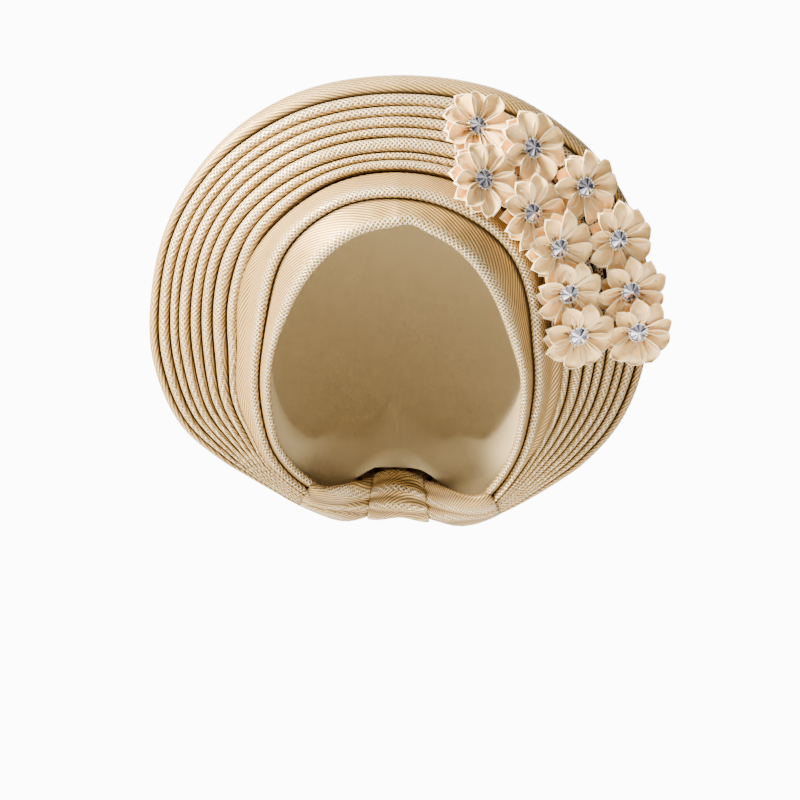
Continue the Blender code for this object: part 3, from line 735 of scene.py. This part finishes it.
def satin_material(flowers):
    """Peach polyester satin ribbon, woven smooth and cut with heat.

    It has a silky gloss. Its petal edges are painted paler as a highlight, and the pinched folds near the
    hub are painted darker as shade. Its 0.3 mm cross ribs are too fine to show, so they are drawn at 0.6 mm.
    """
    material, tree, shader = new_material("peach satin", flowers.colour, 0.22, {
        "Specular IOR Level": 0.8,
        "Anisotropic": 0.5,
        "Sheen Weight": 0.15,
        "Sheen Tint": linear(flowers.edge),
        "Subsurface Weight": 0.02,
        "Subsurface Radius": (0.003, 0.002, 0.001),
    })
    uv = add_node(tree, "ShaderNodeUVMap", uv_map="weave")
    fold = add_node(tree, "ShaderNodeAttribute", output="Fac", attribute_name="fold")
    # Painted shade: the satin turns to the fold tone near the hub and in the pinched folds
    deep = blended(tree, fold, 0.60, 0.05, linear(flowers.colour), linear(flowers.fold))
    ribs = add_node(tree, "ShaderNodeTexWave", {"Vector": uv, "Scale": WAVE_PERIOD / SATIN_RIB}, "Fac")
    fill_inputs(tree, shader, {
        # Painted highlight: petal edges and tips turn to the edge tone
        "Base Color": blended(tree, fold, 0.90, 1.0, deep, linear(flowers.edge)),
        "Normal": add_node(tree, "ShaderNodeBump", {"Strength": 0.12, "Distance": 0.0001, "Height": ribs}),
    })
    return material


def silver_material():
    """Silver-plated brass, stamped and polished: a bright mirror that blurs a little."""
    return new_material("silver plate", "#E6E6EA", 0.18, {"Metallic": 1.0})[0]


def crystal_material():
    """Foil-backed lead glass, cut and polished. Its facets are painted white, lilac or dark, as painted
    reflections.
    """
    material, tree, shader = new_material(
        "cut crystal", "#F1F0FA", 0.04, {"Metallic": 0.75, "Coat Weight": 1.0, "Coat Roughness": 0.0}
    )
    # Painted reflections: each facet's glint value picks a dark, lilac or white colour
    glint = add_node(tree, "ShaderNodeAttribute", output="Fac", attribute_name="glint")
    facet = blended(tree, glint, 0.15, 0.60, linear("#4C5064"), linear("#C9C6E2"))
    fill_inputs(tree, shader, {"Base Color": blended(tree, glint, 0.60, 0.75, facet, linear("#FFFFFF"))})
    return material


def paper_material(studio):
    """Seamless backdrop paper, pressed matt: one even tone, a little warm."""
    return new_material("paper backdrop", studio.backdrop, 0.95)[0]


def sheet_mesh(name, grids, ring=False):
    """Cloth from grids of points, each with its fold value, and a UV map in metres."""
    points, faces, maps, folds = [], [], [], []
    for grid in grids:
        first = len(points)
        rows, columns = len(grid), len(grid[0])
        middle = columns // 2
        gone = 0.0
        for i, row in enumerate(grid):
            if i:
                gone += (row[middle][0] - grid[i - 1][middle][0]).length
            across = 0.0
            for j, (point, fold) in enumerate(row):
                if j:
                    across += (point - row[j - 1][0]).length
                points.append(point)
                folds.append(fold)
                maps.append((gone, across))
        for i in range(rows if ring else rows - 1):
            after = (i + 1) % rows
            for j in range(columns - 1):
                a, b = first + i * columns + j, first + after * columns + j
                faces.append((a, a + 1, b + 1, b))
    mesh = bpy.data.meshes.new(name)
    mesh.from_pydata(points, [], faces)
    layer = mesh.uv_layers.new(name="weave")
    for loop in mesh.loops:
        layer.data[loop.index].uv = maps[loop.vertex_index]
    values = mesh.attributes.new("fold", "FLOAT", "POINT")
    values.data.foreach_set("value", folds)
    mesh.shade_smooth()
    return mesh


def add_piece(node, mesh, material, wall=0.0):
    """Links a finished mesh, gives an open sheet its wall, and puts it in place of a CAD node."""
    piece = bpy.data.objects.new(f"{node}_look", mesh)
    mesh.materials.append(material)
    bpy.context.scene.collection.objects.link(piece)
    if wall:
        solid = piece.modifiers.new("wall", "SOLIDIFY")
        solid.thickness = wall
        solid.offset = -1.0
    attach(piece, "root")
    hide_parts(node)
    return piece


def section_rows(cloth, line):
    """The rows of a cloth piece swept from one gather to the other."""
    rows = []
    for angle in stations(-cloth.fan_end, cloth.fan_end, round(2.0 * cloth.fan_end / SECTION_STEP)):
        section = Section(cloth, angle)
        rows.append([(place(cloth, angle, p), p.z) for p in line(cloth, section)])
    return rows


def cap_rows(cloth):
    """The cap's sections, from the back of the head to its hem."""
    rows = []
    for angle in stations(-180.0, 180.0, CAP_SECTIONS)[:-1]:
        section = Section(cloth, math.copysign(min(abs(angle), cloth.fan_end), angle))
        along, out = section.lower_frame
        small = min(1.0, section.lower_width / BAND_FULL_WIDTH)
        hem = BAND_HEM * max(0.5, small) + CAP_OVERLAP
        front = section.brow + along * hem - out * BEHIND_BAND
        clear = CAP_CLEARANCE + (cloth.knot_wall + KNOT_CLEARANCE) * knot_cover(cloth, angle)
        back = roll_point(cloth, angle, Vector((-1.0, -0.1)), clear)
        edge = front.lerp(back, smooth_step(cloth.fan_end - 12.0, cloth.fan_end, abs(angle)))
        radius = head_radius(cloth, angle) + CAP_STANDOFF
        half_length = cloth.head_length / 2.0 + CAP_STANDOFF
        reach = edge.y + 0.05 * cloth.head_length * (1.0 + smooth_step(90.0, 180.0, abs(angle)))
        last = math.acos(max(-0.95, min(0.95, reach / half_length)))
        line = []
        for k in range(1, CAP_RINGS + 1):
            bend = last * k / CAP_RINGS
            pucker = 1.0 + 0.006 * noise.noise(Vector((angle / 11.0, k / 5.0, 2.0)))
            line.append(Vector((radius * math.sin(bend) * pucker, half_length * math.cos(bend))))
        line += [line[-1].lerp(edge, 0.35), line[-1].lerp(edge, 0.7), edge]
        rows.append([(place(cloth, angle, p), 0.5) for p in line])
    return rows


def drape_rows(cloth):
    """The cloth from the rim over the back of the head, gathered down to the nape roll."""
    rows = []
    inset = Vector((DRAPE_INSET, 0.0))
    for angle in stations(-cloth.drape_end, cloth.drape_end, round(2.0 * cloth.drape_end)):
        section = Section(cloth, angle)
        hem = place(cloth, angle, section.rim + Vector(RIM_UNDERSIDE) * section.roll - inset)
        start = place(cloth, angle, section.rim + Vector(RIM_TURN[0][:2]) * section.roll - inset)
        nape = math.copysign(table_value(DRAPE_SECTIONS, 3, abs(angle)), angle)
        clear = DRAPE_CLEARANCE + (cloth.knot_wall + KNOT_CLEARANCE) * knot_cover(cloth, nape)
        end = place(cloth, nape, roll_point(cloth, nape, Vector((-0.45, 0.90)), clear))
        run = table_value(DRAPE_SECTIONS, 1, abs(angle)) * cloth.drape_run
        bulge = table_value(DRAPE_SECTIONS, 2, abs(angle)) * cloth.drape_bulge
        first = start + (start - hem).normalized() * run
        second = end + (start - end) * 0.45 + Vector((0.0, bulge, 0.0))
        sway = 1.6 * noise.noise(Vector((angle / 40.0, 8.0, 3.0)))
        fold = math.sin(math.radians(angle * DRAPE_FOLDS + 40.0 * sway))
        fine = math.sin(math.radians(angle * DRAPE_FINE_FOLDS + 90.0 * sway))
        # The hem under the rim gets a low fold value, painted shade; down the drape the value sinks in the
        # gathers' hollows as painted shade and rises on their ridges as painted highlight
        row = [(hem, 0.3)]
        for t in stations(0.0, 1.0, DRAPE_ROWS):
            point = (
                start * (1 - t) ** 3 + first * (3 * t * (1 - t) ** 2)
                + second * (3 * t * t * (1 - t)) + end * t ** 3
            )
            deep = cloth.drape_gather * math.sin(math.pi * min(1.0, t * 1.05)) * t
            swell = deep * (0.7 * fold + 0.35 * fine * t)
            out = (point - Vector((0.0, 0.0, -cloth.crown_height))).normalized()
            row.append((point + out * swell, 0.45 + 0.25 * fold * t))
        rows.append(row[::-1])
    return rows


def tube_mesh(name, rings, folds):
    """A closed body from rings of points, with its UV map and fold values."""
    grid = [[(p, f) for p, f in zip(ring + ring[:1], fold + fold[:1])] for ring, fold in zip(rings, folds)]
    mesh = sheet_mesh(name, [grid])
    body = bmesh.new()
    body.from_mesh(mesh)
    bmesh.ops.remove_doubles(body, verts=body.verts, dist=MERGE_DISTANCE)
    bmesh.ops.holes_fill(body, edges=[e for e in body.edges if e.is_boundary], sides=0)
    bmesh.ops.recalc_face_normals(body, faces=body.faces)
    body.to_mesh(mesh)
    body.free()
    return mesh


def roll_rings(cloth, angles, clear, folds, depth, twist):
    """Rings round the nape roll with grooves where the cloth is wound."""
    rings, values = [], []
    for i, angle in enumerate(angles):
        ring, value = [], []
        inner = angle if angle <= 180.0 else angle - 360.0
        for step in range(ROLL_SIDES):
            turn = 2.0 * math.pi * step / ROLL_SIDES
            wave = math.cos(folds * turn + twist * i / len(angles))
            sway = noise.noise(Vector((math.cos(turn) * 2.0, math.sin(turn) * 2.0, i / 9.0)))
            groove = -depth * (0.5 - 0.5 * wave) ** 3 + 0.0005 * sway
            toward = Vector((math.cos(turn), math.sin(turn)))
            ring.append(place(cloth, inner, roll_point(cloth, inner, toward, clear[i] + groove)))
            # Grooves get a low fold value, painted shade, and ridges a high one, painted highlight
            value.append(0.25 + 0.5 * (0.5 + 0.5 * wave))
        rings.append(ring)
        values.append(value)
    return rings, values


def flower_frame(cloth, flowers, angle, share, lift, turn):
    """Where a flower sits on the fan and how it faces, as one matrix, and the way out."""

    def seat(at, rise=0.0):
        return place(cloth, at, Section(cloth, at).fan_point(share, rise))

    section = Section(cloth, angle)
    onward = (seat(angle + 3.0) - seat(angle - 3.0)).normalized()
    inward = (place(cloth, angle, section.edge) - place(cloth, angle, section.rim)).normalized()
    out = inward.cross(onward).normalized()
    tilt = math.radians(flowers.tilt)
    facing = (out * math.cos(tilt) + onward * math.sin(tilt)).normalized()
    facing = facing.lerp(Vector((0.0, -1.0, 0.0)), flowers.forward).normalized()
    right = onward.cross(facing).normalized()
    frame = Matrix((right, facing.cross(right), facing)).transposed().to_4x4()
    frame.translation = seat(angle, flowers.seat + flowers.lift * lift)
    return frame @ Matrix.Rotation(math.radians(turn), 4, "Z"), out


def petal_grid(flowers, reach, rise, seed):
    """One ribbon petal along +X: pinched at the hub, cupped along its sides, pointed."""
    chance = [noise.noise(Vector((seed * 1.7, k * 5.3, 0.4))) for k in range(4)]
    run = flowers.radius * reach * (1.0 + 0.10 * chance[0]) - PETAL_START
    half = flowers.radius * 0.285 * (1.0 + 0.15 * chance[1])
    roll = math.radians(26.0 * chance[2])
    grid = []
    for t in stations(0.0, 1.0, PETAL_ROWS):
        width = half * table_value(PETAL_WIDTHS, 1, t)
        row = []
        for s in stations(-1.0, 1.0, PETAL_COLUMNS):
            pinch = math.exp(-((s / 0.20) ** 2)) * (1.0 - t) ** 1.8
            cup = 0.30 + 0.90 * math.sin(math.pi * min(1.0, 0.15 + 0.72 * t))
            x = PETAL_START + run * (t - 0.05 * s * s * t)
            y = width * s
            z = rise * math.sin(math.pi * 0.5 * min(1.0, t * 1.2)) - PETAL_DROOP * smooth_step(0.70, 1.0, t)
            z += flowers.cup * 0.55 * s * s * cup + 0.0005 * s ** 6 - PETAL_PINCH * pinch
            z += 0.0006 * chance[3] * math.sin(5.0 * t + 2.5 * s)
            # A low fold value near the hub and in the pinch paints shade there; edges and tips get 1, a
            # painted highlight
            fold = 0.70 * smooth_step(0.0, 0.50, t) + 0.12 * abs(s) - 0.9 * pinch
            if abs(s) == 1.0 or t == 1.0:
                fold = 1.0
            row.append((Vector((x, y * math.cos(roll), z + y * math.sin(roll))), max(0.0, fold)))
        grid.append(row)
    return grid


def stalk_grid(stalk):
    """The sewn base behind the hub, down to the pleats."""
    rows = []
    for turn in stations(0.0, 2.0 * math.pi, STALK_SIDES):
        toward = Vector((math.cos(turn), math.sin(turn), 0.0))
        row = [(toward * radius + Vector((0.0, 0.0, height)), 0.1) for radius, height in STALK_RINGS]
        row.append((toward * STALK_RADIUS + stalk, 0.1))
        rows.append(row)
    return rows[::-1]


def flower_mesh(flowers, number, stalk):
    """All petals of one flower, in two layers, on its sewn base."""
    grids = [stalk_grid(stalk)]
    petals = flowers.petals + number % 2
    for layer, (reach, rise, offset) in enumerate(PETAL_LAYERS):
        for k in range(petals):
            seed = number * 31.0 + layer * 13.0 + k
            sway = 0.18 * noise.noise(Vector((seed, 0.7, 9.0)))
            turn = Matrix.Rotation(2.0 * math.pi * (k + offset + sway) / petals, 3, "Z")
            grid = petal_grid(flowers, reach, rise, seed)
            lift = Vector((0.0, 0.0, LAYER_STEP * layer + NEIGHBOUR_STEP * (k % 2) - LAYER_DROP))
            grids.append([[(turn @ p + lift, f) for p, f in row] for row in grid])
    return sheet_mesh(f"ribbon flower {number:02d}", grids)


def apply_modifier(piece, kind, **values):
    """Adds a modifier to the active object, sets it and applies it."""
    modifier = piece.modifiers.new("shape", kind)
    for name, value in values.items():
        setattr(modifier, name, value)
    bpy.ops.object.modifier_apply(modifier=modifier.name)


def edit_end_face(piece, upper):
    """Enters edit mode with only a cone's upper or lower end face selected."""
    bpy.ops.object.mode_set(mode="EDIT")
    body = bmesh.from_edit_mesh(piece.data)
    for face in body.faces:
        face.select_set(len(face.verts) > 4 and (face.calc_center_median().z > 0) == upper)
    bmesh.update_edit_mesh(piece.data)


def setting_pattern(flowers):
    """One silver setting: a cup with a sunk seat and a ring of small beads."""
    height, radius = flowers.setting_height, flowers.setting_radius
    bpy.ops.mesh.primitive_cone_add(
        vertices=SETTING_SIDES, radius1=radius * 0.80, radius2=radius - SETTING_LIP,
        depth=height * 0.8, location=(0.0, 0.0, height * 0.4),
    )
    cup = bpy.context.object
    edit_end_face(cup, upper=True)
    bpy.ops.mesh.inset(thickness=SETTING_RIM)
    bpy.ops.mesh.extrude_region_move(TRANSFORM_OT_translate={"value": (0.0, 0.0, -SETTING_SINK)})
    bpy.ops.object.mode_set(mode="OBJECT")
    apply_modifier(cup, "BEVEL", width=SETTING_BEVEL, segments=2)
    parts = [cup]
    for k in range(flowers.beads):
        turn = 2.0 * math.pi * k / flowers.beads
        bpy.ops.mesh.primitive_ico_sphere_add(
            subdivisions=2, radius=BEAD_RADIUS,
            location=(BEAD_CIRCLE * math.cos(turn), BEAD_CIRCLE * math.sin(turn), height * 0.95),
        )
        parts.append(bpy.context.object)
    bpy.ops.object.select_all(action="DESELECT")
    for part in parts:
        part.select_set(True)
    bpy.context.view_layer.objects.active = cup
    bpy.ops.object.join()
    bpy.ops.object.transform_apply(location=True, rotation=True, scale=True)
    bpy.ops.object.shade_smooth_by_angle(angle=math.radians(40.0))
    return cup


def stone_pattern(flowers):
    """One cut stone: a small table, sixteen main facets, a girdle and a pointed back."""
    radius, height = flowers.stone_radius - STONE_PLAY, flowers.stone_height
    girdle = flowers.setting_height + STONE_LIFT
    bpy.ops.mesh.primitive_cone_add(
        vertices=STONE_FACETS, radius1=radius, radius2=radius * 0.16, depth=height * 0.42,
        location=(0.0, 0.0, girdle + height * 0.25),
    )
    stone = bpy.context.object
    edit_end_face(stone, upper=False)
    bpy.ops.mesh.extrude_region_move(TRANSFORM_OT_translate={"value": (0.0, 0.0, -height * 0.08)})
    bpy.ops.mesh.extrude_region_move(TRANSFORM_OT_translate={"value": (0.0, 0.0, -height * 0.18)})
    bpy.ops.transform.resize(value=(0.2, 0.2, 1.0))
    bpy.ops.object.mode_set(mode="OBJECT")
    bpy.ops.object.transform_apply(location=True, rotation=True, scale=True)
    # Each facet gets its own glint value, which paints it dark, lilac or white as a reflection
    glint = stone.data.attributes.new("glint", "FLOAT", "FACE")
    for number, value in enumerate(glint.data):
        value.value = (number * 0.618) % 1.0
    return stone


def place_copies(pattern, prefix, material):
    """Puts one copy of a hard piece on each flower, in place of its CAD node."""
    cloth, flowers, _ = settings()
    for number, row in enumerate(FLOWERS, 1):
        frame, _ = flower_frame(cloth, flowers, *row)
        mesh = pattern.data.copy()
        mesh.transform(frame @ Matrix.Translation((0.0, 0.0, SETTING_LIFT)))
        add_piece(f"{prefix}_{number:02d}", mesh, material)
    bpy.data.objects.remove(pattern)


class HEADTIE_OT_cap(bpy.types.Operator):
    """Builds the crown cap under the pleats"""

    bl_idname = "head_tie.cap"
    bl_label = "Crown cap"

    def execute(self, context):
        cloth = settings()[0]
        mesh = sheet_mesh("crown_cap_look", [cap_rows(cloth)], ring=True)
        body = bmesh.new()
        body.from_mesh(mesh)
        # The small round hole at the back of the head, where the sections meet
        back = 0.98 * cloth.head_length / 2.0
        hole = [e for e in body.edges if e.is_boundary and e.verts[0].co.y > back]
        bmesh.ops.holes_fill(body, edges=hole, sides=0)
        body.to_mesh(mesh)
        body.free()
        piece = add_piece("crown_cap", mesh, lining_material(cloth), cloth.cap_wall)
        return {"FINISHED"}


class HEADTIE_OT_bands(bpy.types.Operator):
    """Builds the two brow bands"""

    bl_idname = "head_tie.bands"
    bl_label = "Brow bands"

    def execute(self, context):
        cloth = settings()[0]
        lame = lame_material(cloth)
        for name, line, flat in (
            ("brow_band_lower", lower_band_line, (0.028, 0.40)),
            ("brow_band_upper", upper_band_line, (0.034, 0.46)),
        ):
            mesh = sheet_mesh(name, [section_rows(cloth, line)])
            piece = add_piece(name, mesh, lame, cloth.wall)
        return {"FINISHED"}


class HEADTIE_OT_fan(bpy.types.Operator):
    """Builds the pleated fan round the bands"""

    bl_idname = "head_tie.fan"
    bl_label = "Pleated fan"

    def execute(self, context):
        cloth = settings()[0]
        lame = lame_material(cloth)
        mesh = sheet_mesh("pleated_fan_look", [section_rows(cloth, fan_line)])
        piece = add_piece("pleated_fan", mesh, lame, cloth.wall)
        return {"FINISHED"}


class HEADTIE_OT_drape(bpy.types.Operator):
    """Builds the cloth over the back of the head"""

    bl_idname = "head_tie.drape"
    bl_label = "Back drape"

    def execute(self, context):
        cloth = settings()[0]
        lame = lame_material(cloth)
        mesh = sheet_mesh("back_drape_look", [drape_rows(cloth)])
        piece = add_piece("back_drape", mesh, lame, cloth.drape_wall)
        return {"FINISHED"}


class HEADTIE_OT_nape(bpy.types.Operator):
    """Builds the rolled nape and its knot"""

    bl_idname = "head_tie.nape"
    bl_label = "Nape roll and knot"

    def execute(self, context):
        cloth = settings()[0]
        lame = lame_material(cloth)
        start = cloth.fan_end - 1.2
        angles = stations(start, 360.0 - start, ROLL_STEPS)
        rings, folds = roll_rings(cloth, angles, [-ROLL_INSET] * len(angles), *ROLL_WINDING)
        mesh = tube_mesh("nape_roll_look", rings, folds)
        roll = add_piece("nape_roll", mesh, lame)
        angles = stations(180.0 - cloth.knot_half, 180.0 + cloth.knot_half, KNOT_STEPS)
        swell = [math.sin(math.pi * share) ** 0.6 for share in stations(0.01, 0.99, KNOT_STEPS)]
        clear = [KNOT_GAP + (cloth.knot_wall + KNOT_FULLNESS) * s for s in swell]
        rings, folds = roll_rings(cloth, angles, clear, *KNOT_WINDING)
        mesh = tube_mesh("nape_knot_look", rings, folds)
        knot = add_piece("nape_knot", mesh, lame)
        return {"FINISHED"}


class HEADTIE_OT_flowers(bpy.types.Operator):
    """Builds the ribbon flowers"""

    bl_idname = "head_tie.flowers"
    bl_label = "Ribbon flowers"

    def execute(self, context):
        cloth, flowers, _ = settings()
        satin = satin_material(flowers)
        for number, row in enumerate(FLOWERS, 1):
            frame, out = flower_frame(cloth, flowers, *row)
            depth = flowers.seat + flowers.lift * row[2] - STALK_START
            stalk = (frame.to_3x3().inverted() @ -out) * depth
            mesh = flower_mesh(flowers, number, stalk)
            mesh.transform(frame)
            piece = add_piece(f"flower_{number:02d}", mesh, satin, flowers.ribbon)
        return {"FINISHED"}


class HEADTIE_OT_stones(bpy.types.Operator):
    """Builds the settings and the cut stones"""

    bl_idname = "head_tie.stones"
    bl_label = "Settings and stones"

    def execute(self, context):
        flowers = settings()[1]
        place_copies(setting_pattern(flowers), "setting", silver_material())
        place_copies(stone_pattern(flowers), "stone", crystal_material())
        return {"FINISHED"}


class HEADTIE_OT_studio(bpy.types.Operator):
    """Builds the floor, the lights and the camera"""

    bl_idname = "head_tie.studio"
    bl_label = "Studio"

    def execute(self, context):
        studio = settings()[2]
        bpy.ops.mesh.primitive_plane_add(size=studio.floor_size, location=(0.0, 0.0, -studio.floor_drop))
        floor = context.object
        floor.name = "floor"
        floor.data.materials.append(paper_material(studio))
        # The lamps point at the middle of the opening
        aim = Vector((0.0, -0.03, -0.09))
        for name, spot, size, power, colour in (
            ("key", (-1.30, -0.82, 0.75), 0.45, studio.key, "#FFF6EA"),
            ("fill", (1.15, -1.05, 0.10), 0.90, studio.fill, "#FFFFFF"),
            ("top", (0.05, 0.35, 1.30), 0.90, studio.top, "#FFFFFF"),
        ):
            data = bpy.data.lights.new(name, "AREA")
            data.size = size
            data.energy = power
            data.color = linear(colour)[:3]
            lamp = bpy.data.objects.new(name, data)
            lamp.location = spot
            lamp.rotation_euler = (aim - Vector(spot)).to_track_quat("-Z", "Y").to_euler()
            context.scene.collection.objects.link(lamp)
        world = bpy.data.worlds.new("studio")
        world.use_nodes = True
        tree = world.node_tree
        way = add_node(tree, "ShaderNodeTexCoord", output="Generated")
        depth = add_node(tree, "ShaderNodeSeparateXYZ", {"Vector": way}, "Y")
        # The sky glows white behind the head tie and is dim everywhere else
        inputs = {
            "Value": depth,
            "From Min": 0.55,
            "From Max": 0.95,
            "To Min": studio.sky,
            "To Max": studio.backdrop_glow,
        }
        glow = add_node(tree, "ShaderNodeMapRange", inputs, interpolation_type="SMOOTHSTEP")
        fill_inputs(tree, tree.nodes["Background"], {"Color": linear("#FFFFFF"), "Strength": glow})
        context.scene.world = world
        lens = bpy.data.cameras.new("camera")
        lens.lens = studio.lens
        lens.sensor_width = 36.0
        camera = bpy.data.objects.new("camera", lens)
        camera.location = (studio.side, -studio.distance, studio.eye_height)
        camera.rotation_euler = (math.radians(90.0), 0.0, 0.0)
        context.scene.collection.objects.link(camera)
        context.scene.camera = camera
        return {"FINISHED"}


class HEADTIE_PT_panel(bpy.types.Panel):
    """Buttons and sizes of the head tie."""

    bl_idname = "HEADTIE_PT_panel"
    bl_label = "Head tie"
    bl_space_type = "VIEW_3D"
    bl_region_type = "UI"
    bl_category = "Head tie"

    def draw(self, context):
        """Lists the settings of each group and the buttons that build the pieces."""
        for group in settings():
            box = self.layout.box()
            for name in group.__annotations__:
                box.prop(group, name)
        for operator in OPERATORS:
            self.layout.operator(operator.bl_idname)


GROUPS = (HeadTieCloth, HeadTieFlowers, HeadTieStudio)
OPERATORS = (
    HEADTIE_OT_cap,
    HEADTIE_OT_bands,
    HEADTIE_OT_fan,
    HEADTIE_OT_drape,
    HEADTIE_OT_nape,
    HEADTIE_OT_flowers,
    HEADTIE_OT_stones,
    HEADTIE_OT_studio,
)


def register():
    """Registers the groups, operators and panel, and gives the scene its settings."""
    for cls in (*GROUPS, *OPERATORS, HEADTIE_PT_panel):
        bpy.utils.register_class(cls)
    bpy.types.Scene.head_tie_cloth = PointerProperty(type=HeadTieCloth)
    bpy.types.Scene.head_tie_flowers = PointerProperty(type=HeadTieFlowers)
    bpy.types.Scene.head_tie_studio = PointerProperty(type=HeadTieStudio)


def unregister():
    """Takes back all that register adds."""
    del bpy.types.Scene.head_tie_studio
    del bpy.types.Scene.head_tie_flowers
    del bpy.types.Scene.head_tie_cloth
    for cls in reversed((*GROUPS, *OPERATORS, HEADTIE_PT_panel)):
        bpy.utils.unregister_class(cls)


def main():
    """Registers the add-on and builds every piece."""
    register()
    bpy.ops.head_tie.cap()
    bpy.ops.head_tie.bands()
    bpy.ops.head_tie.fan()
    bpy.ops.head_tie.drape()
    bpy.ops.head_tie.nape()
    bpy.ops.head_tie.flowers()
    bpy.ops.head_tie.stones()
    bpy.ops.head_tie.studio()


if __name__ == "__main__":
    main()
